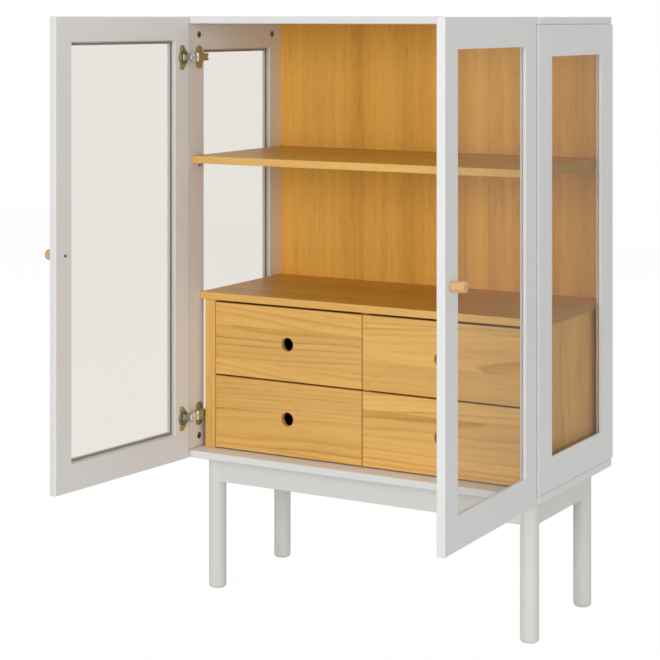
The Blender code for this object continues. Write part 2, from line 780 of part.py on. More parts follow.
def make_door_frame(label, side, hanging):
    """A door's frame: stiles and rails as one, rebated from inside for the pane, with two cup bores."""
    frame = door_block(
        f"{label}_door_frame",
        side,
        (DOOR_FREE_EDGE, DOOR_OUTER_FACE, LEG_HEIGHT),
        (PIN_FROM_DOOR_EDGE, DOOR_INNER_FACE, CASE_TOP),
        hanging,
    )
    ease(frame, DOOR_EDGE_RADIUS, FILLET_STEPS)
    low = Vector((DOOR_FREE_EDGE + DOOR_STILE, DOOR_OUTER_FACE - OVERRUN, LEG_HEIGHT + DOOR_BOTTOM_RAIL))
    high = Vector((PIN_FROM_DOOR_EDGE - DOOR_STILE, DOOR_INNER_FACE + OVERRUN, CASE_TOP - DOOR_TOP_RAIL))
    cut(frame, door_block(f"{frame.name}_opening", side, low, high, hanging))
    pane_front = DOOR_OUTER_FACE + DOOR_GLASS_INSET
    pane_back = pane_front + GLASS_THICKNESS
    grow = Vector((REBATE_WIDTH, 0, REBATE_WIDTH))
    rebate_low = low - grow
    rebate_high = high + grow
    rebate_low.y = pane_front - SEAT_GAP
    cut(frame, door_block(f"{frame.name}_rebate", side, rebate_low, rebate_high, hanging))

    bore_depth = CUP_DEPTH + SEAT_GAP
    for level, height in HINGE_HEIGHTS.items():
        bore = cylinder(
            f"{frame.name}_{level}_bore",
            (side * CUP_MIDDLE, DOOR_INNER_FACE - bore_depth / 2 + OVERRUN / 2, height),
            (0, 1, 0),
            CUP_DIAMETER / 2 + SEAT_GAP,
            bore_depth + OVERRUN,
            ROUND_STEPS,
            hanging,
        )
        cut(frame, bore)
    screw_hole = cylinder(
        f"{frame.name}_knob_hole",
        (side * knob_place(), (DOOR_OUTER_FACE + DOOR_INNER_FACE) / 2, KNOB_FROM_FLOOR),
        (0, 1, 0),
        KNOB_SCREW_DIAMETER / 2 + SEAT_GAP,
        DOOR_THICKNESS + OVERRUN * 2,
        SMALL_ROUND_STEPS,
        hanging,
    )
    cut(frame, screw_hole)
    finish(frame, "white_paint")

    margin = REBATE_WIDTH - GLASS_EDGE_GAP
    pane_grow = Vector((margin, 0, margin))
    pane_low = low - pane_grow
    pane_high = high + pane_grow
    pane_low.y = pane_front
    pane_high.y = pane_back
    pane = door_block(f"{label}_door_glass", side, pane_low, pane_high, hanging)
    finish(pane, "clear_glass")


def knob_place():
    return DOOR_FREE_EDGE + DOOR_STILE / 2


def make_knob(label, side, hanging):
    """A turned wooden knob, a little wider at its end, with the screw that holds it through the stile."""
    base = KNOB_BASE_DIAMETER / 2
    end = KNOB_END_DIAMETER / 2
    rounding = arc(
        (end - KNOB_END_RADIUS, KNOB_LENGTH - KNOB_END_RADIUS), KNOB_END_RADIUS, 90, 0, FILLET_STEPS
    )
    profile = [(0, KNOB_LENGTH), *rounding, (base, ARRIS_RADIUS), (base - ARRIS_RADIUS, 0), (0, 0)]
    seat = DOOR_OUTER_FACE - SEAT_GAP
    centre = Vector((side * knob_place(), seat, KNOB_FROM_FLOOR))
    knob = turned(f"{label}_door_knob", profile, centre, (0, -1, 0), ROUND_STEPS, hanging)
    inner_end = DOOR_INNER_FACE + SEAT_GAP + KNOB_SCREW_HEAD_HEIGHT / 2
    outer_end = seat - KNOB_SCREW_BITE
    shank = cylinder(
        f"{knob.name}_screw",
        (centre.x, (inner_end + outer_end) / 2, centre.z),
        (0, 1, 0),
        KNOB_SCREW_DIAMETER / 2,
        inner_end - outer_end,
        SMALL_ROUND_STEPS,
        hanging,
    )
    join(knob, shank)
    head = cylinder(
        f"{knob.name}_screw_head",
        (centre.x, DOOR_INNER_FACE + SEAT_GAP + KNOB_SCREW_HEAD_HEIGHT / 2, centre.z),
        (0, 1, 0),
        KNOB_SCREW_HEAD_DIAMETER / 2,
        KNOB_SCREW_HEAD_HEIGHT,
        SMALL_ROUND_STEPS,
        hanging,
    )
    join(knob, head)
    finish(knob, "pale_pine")


def make_hinge_cup(label, side, level, hanging):
    """The cup let into the door, with its two-eared flange and the hinge pin across its mouth."""
    height = HINGE_HEIGHTS[level]
    middle_x = side * CUP_MIDDLE
    flange_top = DOOR_INNER_FACE + SEAT_GAP + FLANGE_THICKNESS
    bottom = DOOR_INNER_FACE - CUP_DEPTH
    cup = cylinder(
        f"{label}_door_{level}_hinge_cup",
        (middle_x, (bottom + flange_top) / 2, height),
        (0, 1, 0),
        CUP_DIAMETER / 2,
        flange_top - bottom,
        ROUND_STEPS,
        hanging,
    )
    flange_middle = flange_top - FLANGE_THICKNESS / 2
    rim = cylinder(
        f"{cup.name}_rim",
        (middle_x, flange_middle, height),
        (0, 1, 0),
        CUP_DIAMETER / 2 + CUP_RIM,
        FLANGE_THICKNESS,
        ROUND_STEPS,
        hanging,
    )
    join(cup, rim)
    ear_x = side * (CUP_MIDDLE - EAR_OFFSET)
    flange = outline_solid(
        f"{cup.name}_flange",
        flange_outline(side),
        FLANGE_THICKNESS,
        Matrix.Translation((middle_x, flange_middle, height)) @ Matrix.Rotation(math.pi / 2, 4, "X"),
        hanging,
    )
    join(cup, flange)
    for sign in SIDES.values():
        head = cylinder(
            f"{cup.name}_screw_{sign}",
            (
                ear_x,
                flange_top + SCREW_HEAD_HEIGHT / 2 - FLANGE_THICKNESS / 4,
                height + sign * EAR_SCREW_SPACING / 2,
            ),
            (0, 1, 0),
            SCREW_HEAD_DIAMETER / 2,
            SCREW_HEAD_HEIGHT + FLANGE_THICKNESS / 2,
            SMALL_ROUND_STEPS,
            hanging,
        )
        join(cup, head)
    cavity_radius = CUP_DIAMETER / 2 - CUP_WALL - CUP_RIM
    cavity_bottom = bottom + CUP_WALL
    cavity_top = flange_top + OVERRUN
    cavity = cylinder(
        f"{cup.name}_cavity",
        (middle_x, (cavity_bottom + cavity_top) / 2, height),
        (0, 1, 0),
        cavity_radius,
        cavity_top - cavity_bottom,
        ROUND_STEPS,
        hanging,
    )
    cut(cup, cavity)
    wall_middle = (CUP_DIAMETER / 2 + cavity_radius) / 2
    pin_length = 2 * math.sqrt(wall_middle**2 - CUP_MIDDLE**2)
    pin = cylinder(
        f"{cup.name}_pin",
        (0, 0, height),
        (0, 0, 1),
        PIN_DIAMETER / 2,
        pin_length,
        SMALL_ROUND_STEPS,
        hanging,
    )
    join(cup, pin)
    finish(cup, "yellow_zinc")


def make_hinge_arm(label, side, level):
    """The fixed half of a hinge: winged plate and arm on the side frame, and the crank with its eye."""
    height = HINGE_HEIGHTS[level]
    plate_seat = SIDE_INNER - SEAT_GAP
    plate_face = plate_seat - PLATE_THICKNESS
    name = f"{label}_{level}_hinge_arm"
    seat = plate_face + PLATE_THICKNESS / 2
    top = plate_face - ARM_RISE
    tail = plate_face - TAIL_RISE
    step = ARM_FROM_FRONT + ARM_LEVEL_LENGTH
    slope_end = step + ARM_SLOPE_LENGTH
    arm_end = ARM_FROM_FRONT + ARM_LENGTH
    profile = [
        (seat, ARM_FROM_FRONT),
        (top, ARM_FROM_FRONT),
        (top, step),
        (tail, slope_end),
        (tail, arm_end),
        (seat, arm_end),
    ]
    outline = [(side * x, y) for x, y in profile]
    arm = outline_solid(name, outline, ARM_HEIGHT, Matrix.Translation((0, 0, height)))
    ease(arm, ARRIS_RADIUS)
    channel_half = TAIL_HEIGHT / 2 - ARM_CHANNEL_WALL
    channel_start = PLATE_FROM_FRONT + PLATE_LENGTH + ARRIS_RADIUS
    left, right = span(side, tail + ARM_CHANNEL_WALL, seat + PLATE_THICKNESS)
    channel = block(
        f"{name}_channel",
        (left, channel_start, height - channel_half),
        (right, arm_end + OVERRUN, height + channel_half),
    )
    cut(arm, channel)
    left, right = span(side, tail - OVERRUN, seat + PLATE_THICKNESS)
    for sign in SIDES.values():
        low, high = sorted((height + sign * TAIL_HEIGHT / 2, height + sign * ARM_HEIGHT))
        shoulder = block(
            f"{name}_shoulder_{sign}", (left, slope_end, low), (right, arm_end + OVERRUN, high)
        )
        cut(arm, shoulder)
    notch = cylinder(
        f"{name}_notch",
        (side * tail, arm_end + ARRIS_RADIUS, height),
        (1, 0, 0),
        TAIL_NOTCH_DIAMETER / 2,
        ARM_RISE,
        SMALL_ROUND_STEPS,
    )
    cut(arm, notch)
    plate = outline_solid(
        f"{arm.name}_plate",
        rounded_rectangle(PLATE_LENGTH, PLATE_HEIGHT, PLATE_CORNER_RADIUS, FILLET_STEPS),
        PLATE_THICKNESS,
        Matrix.Translation(
            (side * (plate_seat + plate_face) / 2, PLATE_FROM_FRONT + PLATE_LENGTH / 2, height)
        )
        @ Matrix(((0, 0, 1, 0), (1, 0, 0, 0), (0, 1, 0, 0), (0, 0, 0, 1))),
    )
    join(arm, plate)
    for sign in SIDES.values():
        head = cylinder(
            f"{arm.name}_plate_screw_{sign}",
            (
                side * (plate_face - SCREW_HEAD_HEIGHT / 2 + PLATE_THICKNESS / 4),
                PLATE_FROM_FRONT + PLATE_LENGTH / 2,
                height + sign * PLATE_SCREW_SPACING / 2,
            ),
            (1, 0, 0),
            SCREW_HEAD_DIAMETER / 2,
            SCREW_HEAD_HEIGHT + PLATE_THICKNESS / 2,
            SMALL_ROUND_STEPS,
        )
        join(arm, head)

    corner = (-CRANK_REACH, -CRANK_REACH * math.tan(CRANK_SLOPE))
    crank_end = (-CRANK_REACH, ARM_FROM_FRONT - PIN_Y + ARM_CHANNEL_WALL)
    path = [(side * x, y) for x, y in ((0, 0), corner, crank_end)]
    crank = outline_solid(
        f"{arm.name}_crank",
        strip_outline(path, CRANK_THICKNESS),
        CRANK_HEIGHT,
        Matrix.Translation((side * PIN_X, PIN_Y, height)),
    )
    join(arm, crank)
    eye_centre = (side * PIN_X, PIN_Y, height)
    up = (0, 0, 1)
    eye = cylinder(f"{arm.name}_eye", eye_centre, up, EYE_DIAMETER / 2, CRANK_HEIGHT, SMALL_ROUND_STEPS)
    join(arm, eye)
    bore_radius = PIN_DIAMETER / 2 + SEAT_GAP
    bore_length = CRANK_HEIGHT + OVERRUN * 2
    cut(arm, cylinder(f"{arm.name}_bore", eye_centre, up, bore_radius, bore_length, SMALL_ROUND_STEPS))
    finish(arm, "yellow_zinc")


def make_door(label, side):
    """One door on an empty that stands on its hinge pins and is turned to the door's open angle."""
    angle = side * DOOR_OPEN_ANGLES[label]
    hanging = empty(f"{label}_door_hinge_axis", (side * PIN_X, PIN_Y, 0), angle)
    hanging.parent = cabinet_frame
    make_door_frame(label, side, hanging)
    make_knob(label, side, hanging)
    for level in HINGE_HEIGHTS:
        make_hinge_cup(label, side, level, hanging)
        make_hinge_arm(label, side, level)


def world_corners(objects):
    """The lowest and highest corners of the objects' evaluated meshes, in world space."""
    graph = bpy.context.evaluated_depsgraph_get()
    low = np.full(3, np.inf)
    high = np.full(3, -np.inf)
    for obj in objects:
        evaluated = obj.evaluated_get(graph)
        mesh = evaluated.to_mesh()
        points = np.empty(len(mesh.vertices) * 3, np.float32)
        mesh.vertices.foreach_get("co", points)
        matrix = np.array(evaluated.matrix_world)
        placed = points.reshape(-1, 3) @ matrix[:3, :3].T + matrix[:3, 3]
        low = np.minimum(low, placed.min(axis=0))
        high = np.maximum(high, placed.max(axis=0))
        evaluated.to_mesh_clear()
    return low, high


def stand_on_origin():
    """Moves the whole cabinet so that the origin lies on the floor under the middle of its box."""
    bpy.context.view_layer.update()
    pieces = [obj for obj in cabinet.objects if obj.type == "MESH"]
    low, high = world_corners(pieces)
    middle = (low + high) / 2
    cabinet_frame.location = (-middle[0], -middle[1], -low[2])
    bpy.context.view_layer.update()


clear_scene()
cabinet = new_collection("china_cabinet")
cutters = new_collection("cutters")
cutters.hide_render = True
cabinet_frame = empty("cabinet_frame", (0, 0, 0))

make_panels()
make_back_and_shelves()
for side_label, side_sign in SIDES.items():
    make_side_frame(side_label, side_sign)
make_drawer_unit()
for side_label, side_sign in SIDES.items():
    for drawer_level in FRONT_BOTTOMS:
        make_drawer(side_label, side_sign, drawer_level)
make_legs()
make_rails()
for side_label, side_sign in SIDES.items():
    make_door(side_label, side_sign)
stand_on_origin()
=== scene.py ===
"""Finishes, fittings and stage for a two-door glazed china cabinet, laid out as a Blender add-on.

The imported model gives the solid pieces. This file gives each of them its paint, pine, glass or plating, adds
the small fittings that the solids leave out, and sets the stage. Metres throughout.
"""

import json
import math
import random

import bmesh
import bpy
from bpy.props import FloatProperty, FloatVectorProperty, PointerProperty
from bpy.types import Operator, Panel, PropertyGroup
from mathutils import Matrix, Vector


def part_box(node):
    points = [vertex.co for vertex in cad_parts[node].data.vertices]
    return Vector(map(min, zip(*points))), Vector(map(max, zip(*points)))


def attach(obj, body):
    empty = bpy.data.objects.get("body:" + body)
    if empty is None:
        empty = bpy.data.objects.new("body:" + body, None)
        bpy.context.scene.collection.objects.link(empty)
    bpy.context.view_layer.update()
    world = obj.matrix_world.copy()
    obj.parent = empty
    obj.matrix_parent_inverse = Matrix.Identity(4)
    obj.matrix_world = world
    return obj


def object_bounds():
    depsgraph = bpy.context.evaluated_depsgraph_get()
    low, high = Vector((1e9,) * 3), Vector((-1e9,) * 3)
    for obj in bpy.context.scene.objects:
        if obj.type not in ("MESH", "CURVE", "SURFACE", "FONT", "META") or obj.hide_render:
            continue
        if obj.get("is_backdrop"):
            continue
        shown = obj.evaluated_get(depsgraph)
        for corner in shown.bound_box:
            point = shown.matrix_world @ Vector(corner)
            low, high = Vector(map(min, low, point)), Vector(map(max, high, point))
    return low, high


bl_info = {
    "name": "China Cabinet",
    "version": (1, 0, 0),
    "blender": (4, 5, 0),
    "location": "3D View > Sidebar > Cabinet",
    "description": "Finishes, fittings and stage for a two-door glazed china cabinet",
    "category": "Object",
}

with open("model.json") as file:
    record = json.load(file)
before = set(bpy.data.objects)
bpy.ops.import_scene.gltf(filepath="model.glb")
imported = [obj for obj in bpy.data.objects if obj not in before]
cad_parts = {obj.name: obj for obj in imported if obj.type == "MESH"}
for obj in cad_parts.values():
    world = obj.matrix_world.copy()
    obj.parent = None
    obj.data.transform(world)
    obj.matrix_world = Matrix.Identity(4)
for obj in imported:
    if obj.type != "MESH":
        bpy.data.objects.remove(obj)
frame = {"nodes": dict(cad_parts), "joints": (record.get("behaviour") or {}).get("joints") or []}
CAD_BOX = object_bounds()

SIDES = {"left": -1, "right": 1}
LEVELS = ("upper", "lower")
AXES = {"X": 0, "Y": 1, "Z": 2}
BACKWARDS = (0, 1, 0)

# The least gap between a face and the mask of what is fused to it, or between a face and what lies on it
FACE_GAP = 0.0001

# The case's front plane and middle, from which the places below are given
TOP_LOW, TOP_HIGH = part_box("top_panel")
MIDDLE = Vector(((TOP_LOW.x + TOP_HIGH.x) / 2, TOP_LOW.y, 0))
SIDE_THICKNESS = 0.018
SIDE_INNER = (TOP_HIGH.x - TOP_LOW.x) / 2 - SIDE_THICKNESS
CAM_PLACES = ((0.042, 1.2926), (0.366, 1.291), (0.042, 0.355), (0.366, 0.355))
SUPPORT_PLACES = (0.043, 0.376)
SUPPORT_DEPTH = 0.010
SUPPORT_ANGLE = ((0, 0), (0.012, 0), (0.012, -0.0010), (0.0012, -0.0010), (0.0012, -0.009), (0, -0.009))

# Panes in their rebates, and the sealant round them
PANE_MARGIN = 0.007
PANE_THICKNESS = 0.004
REBATE_GAP = 0.001
SEAT_GAP = 0.0003
BEAD_STEP = 0.012
BEAD_LEG = 0.0030
BEAD_SWELL = 0.22
BED_GAP = 0.0005

# Figure of the wood, as the strengths of its rings, flecks and bands
VENEER = (0.10, 0.29, 0.95)
SHELF = (0.10, 0.25, 0.55)
SOLID = (0.66, 0.22, 0.60)
BOX = (0.35, 0.25, 0.50)
TURNED = (0.25, 0.15, 0.20)

# Staves of the pieces that aren't glued panels, how deep the painted highlight on a board's front edge goes,
# and how deep the end colour goes
FRONT_STAVE = 0.083
BOX_STAVE = 0.09
KNOB_STAVE = 0.3
PAINTED_HIGHLIGHT_DEPTH = 0.0015
END_DEPTH = 0.0005

# Doors, from the pin: X out to the hinge edge, Y back as the door hangs closed
DOOR_OPENING = (-0.3805, -0.049, 0.380, 1.272)
DOOR_PANE_FRONT = -0.002
KNOB_BACK = -0.009
EAR_PLACE = (-0.0185, 0.0120)
EAR_RISE = 0.023

# Hinge arms and the links on them
HINGE_HEIGHTS = {"upper": 1.240, "lower": 0.407}
ARM_FRONT = 0.020
PLATE_SCREWS = (0.4285, 0.040)
PLATE_SCREW_RISE = 0.0195
HEAD_HEIGHT = 0.0004
ARM_HEAD_HEIGHT = 0.0005
ARM_SCREWS = ((0.4180, ARM_FRONT + 0.008, 0.0070), (0.4212, ARM_FRONT + 0.034, 0.0055))
NECK_FRONT = -0.0120
NECK_HEIGHT = 0.0125
LINK_FRONT = -0.0020
LINK_BACK = ARM_FRONT - 0.001
LINK_HEIGHT = 0.020
LINK_FACE = 0.41975
KNUCKLE_RADIUS = 0.0024
KNUCKLE_MIDDLE = (LINK_FACE - 0.0010, ARM_FRONT - 0.0028)

# Drawer unit and slides. Distances along a slide count from its front, and depths from the board behind it
UNIT_INNER = 0.3915
PARTITION_FACE = 0.009
BOX_BACK_WALL = 0.3868
SLIDE_LEVELS = {"upper": 0.5755, "lower": 0.405}
SLIDE_FRONT = 0.0658
SLIDE_SCREWS = (0.030, 0.160, 0.290)
SLIDE_HEAD_HEIGHT = 0.0010
DRAWER_SLOTS = ((0.012, 0.012), (0.095, 0.012), (0.225, 0.012))
RUNNER_SLOTS = ((0.040, 0.022), (0.150, 0.030), (0.260, 0.022))
DRAWER_WEB = 0.0109
BOARD_WEB = 0.0018
RUNNER_WEB = 0.0035
DRAWER_SLOT_WIDTH = 0.0048
RUNNER_SLOT_WIDTH = 0.006
BUMPER_DEPTH = 0.0055
BUMPER_HEIGHT = 0.0155
BUMPER_INSET = 0.002
BUMPER_HOLE = 0.0018
BUMPER_BEVEL = 0.0008

# Lamps: name, place, target and diameter
LAMPS = (
    ("key", (0.5, -5.0, 1.6), (0, 0.1, 0.80), 2.8),
    ("fill", (5.8, -2.9, 1.4), (0.0, 0, 0.75), 3.9),
    ("top", (0.2, -0.6, 3.6), (0, 0.1, 0.6), 2.5),
    ("back", (-0.3, 3.6, 3.4), (0, 0.4, 0.9), 2.4),
)
FLOOR_SIZE = 14

# What a finish's node group puts out, and how high its relief stands on each kind of surface
SURFACE = {"Color": (1, 1, 1, 1), "Roughness": 0.5, "Height": 0.0}
PAINT_RELIEF = 0.00012
PINE_RELIEF = 0.00015
SMALL_RELIEF = 0.00004


def settings():
    return bpy.context.scene.china_cabinet


class Net:
    """Places the nodes of one material or group and links them."""

    def __init__(self, tree):
        self.tree = tree

    def node(self, kind, inputs=None, **values):
        """A new node with its settings, and values or links on the inputs that are named or numbered."""
        node = self.tree.nodes.new(kind)
        for name, value in values.items():
            setattr(node, name, value)
        for label, value in (inputs or {}).items():
            self.feed(node.inputs[label], value)
        return node

    def feed(self, socket, value):
        if isinstance(value, bpy.types.NodeSocket):
            self.tree.links.new(value, socket)
        elif value is not None:
            socket.default_value = value

    def math(self, operation, *values):
        return self.node("ShaderNodeMath", dict(enumerate(values)), operation=operation).outputs[0]

    def minus(self, first, second):
        return self.math("SUBTRACT", first, second)

    def times(self, first, second):
        return self.math("MULTIPLY", first, second)

    def scaled(self, value, factor, base):
        return self.math("MULTIPLY_ADD", value, factor, base)

    def centred(self, value, factor, base):
        """Scales a value that runs from 0 to 1 about its middle."""
        return self.scaled(self.minus(value, 0.5), factor, base)

    def total(self, *values):
        result = values[0]
        for value in values[1:]:
            result = self.math("ADD", result, value)
        return result

    def noise(self, vector, scale=1.0, detail=2.0, roughness=0.5):
        inputs = {"Vector": vector, "Scale": scale, "Detail": detail, "Roughness": roughness}
        return self.node("ShaderNodeTexNoise", inputs).outputs["Fac"]

    def fibres(self, vector, scale, detail=2.0, roughness=0.5):
        """Noise with its own scale on each axis."""
        node = self.node("ShaderNodeVectorMath", {0: vector, 1: scale}, operation="MULTIPLY")
        return self.noise(node.outputs[0], 1.0, detail, roughness)

    def chance(self, vector):
        """Three random values for each whole-numbered place."""
        return self.split(self.node("ShaderNodeTexWhiteNoise", {"Vector": vector}).outputs["Color"])

    def blend(self, factor, first, second, kind="MIX"):
        inputs = {0: factor, 6: first, 7: second}
        return self.node("ShaderNodeMix", inputs, data_type="RGBA", blend_type=kind).outputs[2]

    def toned(self, colour, tone):
        return self.blend(1.0, colour, self.vector(tone, tone, tone), "MULTIPLY")

    def mix(self, factor, first, second):
        return self.node("ShaderNodeMix", {0: factor, 2: first, 3: second}, data_type="FLOAT").outputs[0]

    def vector(self, x, y, z):
        return self.node("ShaderNodeCombineXYZ", {0: x, 1: y, 2: z}).outputs[0]

    def split(self, vector):
        return self.node("ShaderNodeSeparateXYZ", {0: vector}).outputs

    def ramp(self, factor, stops):
        """A curve through (place, value) stops, in order."""
        node = self.node("ShaderNodeValToRGB", {0: factor})
        elements = node.color_ramp.elements
        for place, _ in stops[1:-1]:
            elements.new(place)
        for element, (place, value) in zip(elements, stops):
            element.position = place
            element.color = (value, value, value, 1)
        return node.outputs[0]


def new_group(name, inputs, outputs):
    """A shader node group with named sockets, each of the kind that its default has."""
    tree = bpy.data.node_groups.new(name, "ShaderNodeTree")
    kinds = {1: "Float", 3: "Vector", 4: "Color"}
    for way, sockets in (("INPUT", inputs), ("OUTPUT", outputs)):
        for label, default in sockets.items():
            kind = kinds[len(default) if isinstance(default, tuple) else 1]
            socket = tree.interface.new_socket(label, in_out=way, socket_type=f"NodeSocket{kind}")
            socket.default_value = default
    net = Net(tree)
    return net, net.node("NodeGroupInput").outputs, net.node("NodeGroupOutput").inputs


def pine_grain(name):
    """Edge-glued pine staves with growth rings, from a vector of (across, through, along) in metres."""
    inputs = {
        "Vector": (0, 0, 0),
        "Stave Width": 0.055,
        "Ring Spacing": 0.006,
        "Rings": 0.5,
        "Flecks": 0.3,
        "Bands": 0.5,
        "Light": (0.74, 0.44, 0.14, 1),
        "Dark": (0.56, 0.28, 0.06, 1),
        "Tone Variation": 0.12,
        "Seed": 0.0,
    }
    net, given, result = new_group(name, inputs, SURFACE)
    across, through, along = net.split(given["Vector"])
    moved = net.scaled(given["Seed"], 0.1373, across)
    stave = net.math("DIVIDE", moved, given["Stave Width"])
    number = net.math("FLOOR", stave)
    within = net.minus(stave, number)
    first, second, third = net.chance(net.vector(number, given["Seed"], 0.5))

    # Each stave is cut from another log: how far its heart lies off, and how it leans
    aside = net.total(net.minus(within, 0.5), net.scaled(first, 2.4, -1.2))
    drift = net.times(along, net.scaled(third, 0.12, -0.06))
    aside = net.scaled(aside, given["Stave Width"], drift)
    lean = net.times(along, net.scaled(third, 0.05, -0.025))
    depth = net.total(net.scaled(second, 0.07, 0.012), lean, through)
    shifted = net.vector(moved, net.scaled(number, 0.37, through), along)
    sway = net.scaled(net.fibres(shifted, (7, 7, 1.3), 2.0, 0.45), 0.030, -0.015)
    ripple = net.scaled(net.fibres(shifted, (40, 40, 5)), 0.0030, -0.0015)
    squares = net.scaled(aside, aside, net.times(depth, depth))
    radius = net.total(net.math("SQRT", squares), sway, ripple)
    ring = net.math("DIVIDE", radius, given["Ring Spacing"])
    year = net.math("FLOOR", ring)
    seasons = ((0.0, 0.25), (0.10, 0.0), (0.50, 0.08), (0.80, 0.60), (0.93, 1.0), (1.0, 0.25))
    late = net.ramp(net.minus(ring, year), seasons)
    strength = net.chance(net.vector(year, number, given["Seed"]))[0]
    late = net.times(late, net.scaled(net.times(strength, strength), 0.85, 0.15))

    # Fine fibres, short flecks and soft bands along the grain
    fibre = net.fibres(shifted, (1400, 1400, 14), 3.0, 0.6)
    fleck = net.ramp(net.fibres(shifted, (170, 170, 22), 3.0, 0.6), ((0.54, 0.0), (0.74, 1.0)))
    streak = net.fibres(shifted, (150, 150, 2.6), 3.0, 0.55)
    band = net.minus(net.fibres(shifted, (26, 26, 1.1)), 0.5)
    band = net.centred(streak, 0.45, band)
    shade = net.centred(fibre, 0.22, 0.18)
    for part, weight in ((late, "Rings"), (fleck, "Flecks"), (band, "Bands")):
        shade = net.scaled(part, given[weight], shade)
    shade = net.math("MAXIMUM", net.math("MINIMUM", shade, 1.0), 0.0)
    tinted = net.blend(shade, given["Light"], given["Dark"])

    tone = net.centred(first, given["Tone Variation"], 1.0)
    tone = net.centred(net.fibres(shifted, (9, 9, 2.0), 1.0), 0.10, tone)
    edge = net.times(net.math("MINIMUM", within, net.minus(1.0, within)), given["Stave Width"])
    glue_line = net.math("LESS_THAN", edge, 0.00025)
    tone = net.scaled(glue_line, -0.04, tone)
    net.feed(result["Color"], net.toned(tinted, tone))
    net.feed(result["Roughness"], net.scaled(fibre, 0.14, 0.33))
    height = net.scaled(late, 0.5, net.times(fibre, 0.4))
    net.feed(result["Height"], net.minus(height, glue_line))
    return net.tree


def joint_highlight_lines(name):
    """The mask of the hairlines where a frame's rails meet its stiles, above and below the opening, which the
    paint grooves in its relief and lightens as a painted highlight.
    """
    labels = ("Across", "Up", "First Stile", "Second Stile", "Lower Rail", "Upper Rail")
    net, given, result = new_group(name, dict.fromkeys(labels, 0.0), {"Mask": 0.0})
    half_line = 0.0004
    first = net.math("COMPARE", given["Across"], given["First Stile"], half_line)
    second = net.math("COMPARE", given["Across"], given["Second Stile"], half_line)
    below = net.math("LESS_THAN", given["Up"], given["Lower Rail"])
    above = net.math("GREATER_THAN", given["Up"], given["Upper Rail"])
    lines = net.math("MAXIMUM", first, second)
    net.feed(result["Mask"], net.times(lines, net.math("MAXIMUM", below, above)))
    return net.tree


def paint_film(name):
    """Sprayed satin paint: a trace of grain and orange peel, and hairlines at the joints, grooved in the
    relief and lightened as a painted highlight.
    """
    inputs = {
        "Vector": (0, 0, 0),
        "Color": (0.83, 0.83, 0.82, 1),
        "Variation": 0.03,
        "Joint": 0.0,
        "Seed": 0.0,
    }
    net, given, result = new_group(name, inputs, SURFACE)
    shift = net.times(given["Seed"], 3.7)
    shifted = {0: given["Vector"], 1: net.vector(shift, shift, shift)}
    place = net.node("ShaderNodeVectorMath", shifted, operation="ADD").outputs[0]
    cloud = net.minus(net.noise(place, 6.0), 0.5)
    grain = net.minus(net.fibres(place, (260, 260, 18), 3.0), 0.5)
    tone = net.scaled(net.scaled(grain, 0.5, cloud), given["Variation"], 1.0)
    # Painted highlight: the paint is lighter along the joint lines, as where a joint's groove catches the
    # light
    tone = net.scaled(given["Joint"], 0.07, tone)
    net.feed(result["Color"], net.toned(given["Color"], tone))
    net.feed(result["Roughness"], net.scaled(cloud, 0.10, 0.44))
    height = net.scaled(net.noise(place, 900.0), 0.35, net.times(grain, 0.25))
    net.feed(result["Height"], net.minus(height, given["Joint"]))
    return net.tree


def plated_metal(name):
    """Drawn and plated steel: fine streaks and a slow drift between two plating hues."""
    inputs = {
        "Vector": (0, 0, 0),
        "Color": (0.62, 0.63, 0.64, 1),
        "Drift Color": (0.55, 0.56, 0.58, 1),
        "Roughness": 0.30,
    }
    net, given, result = new_group(name, inputs, SURFACE)
    place = given["Vector"]
    drift = net.ramp(net.noise(place, 70.0), ((0.35, 0.0), (0.65, 1.0)))
    streak = net.fibres(place, (2600, 60, 2600))
    speck = net.noise(place, 1500.0)
    tinted = net.blend(drift, given["Color"], given["Drift Color"])
    net.feed(result["Color"], net.toned(tinted, net.centred(streak, 0.22, 1.0)))
    net.feed(result["Roughness"], net.centred(speck, 0.25, given["Roughness"]))
    net.feed(result["Height"], net.scaled(streak, 0.6, speck))
    return net.tree


def group_outputs(net, name, build, **values):
    """Places a shared group, which is built when it is first asked for, and gives its outputs."""
    tree = bpy.data.node_groups.get(name) or build(name)
    inputs = {label.replace("_", " ").title(): value for label, value in values.items()}
    return net.node("ShaderNodeGroup", inputs, node_tree=tree).outputs


def new_material(name):
    """An empty material, its nodes and its Principled shader."""
    material = bpy.data.materials.new(name)
    material.use_nodes = True
    net = Net(material.node_tree)
    return material, net, net.tree.nodes["Principled BSDF"]


def wire_surface(net, shader, surface, relief):
    """Feeds a shader from a surface's Color, Roughness and Height."""
    inputs = {"Strength": 0.5, "Distance": relief, "Height": surface["Height"]}
    bump = net.node("ShaderNodeBump", inputs)
    net.feed(shader.inputs["Base Color"], surface["Color"])
    net.feed(shader.inputs["Roughness"], surface["Roughness"])
    net.feed(shader.inputs["Normal"], bump.outputs[0])


def solid_place(net, hanging=None):
    """The place on the solid, from the case's middle and front, or from a door's pin as it hangs closed."""
    place = {"Vector": net.node("ShaderNodeTexCoord").outputs["Object"], "Location": MIDDLE}
    if hanging:
        place.update(Location=hanging.translation, Rotation=hanging.to_euler())
    return net.node("ShaderNodeMapping", place, vector_type="TEXTURE").outputs[0]


def door_hanging(side_label):
    """The door's pin and turn: local X runs out to the hinge edge on the right-hand door."""
    joint = next(joint for joint in frame["joints"] if joint["name"] == f"{side_label}_door_hinge")
    angle = SIDES[side_label] * math.radians(-joint["range_deg"][0])
    x, y, _ = joint["pos_m"]
    return Matrix.Translation((x, y, 0)) @ Matrix.Rotation(angle, 4, "Z")


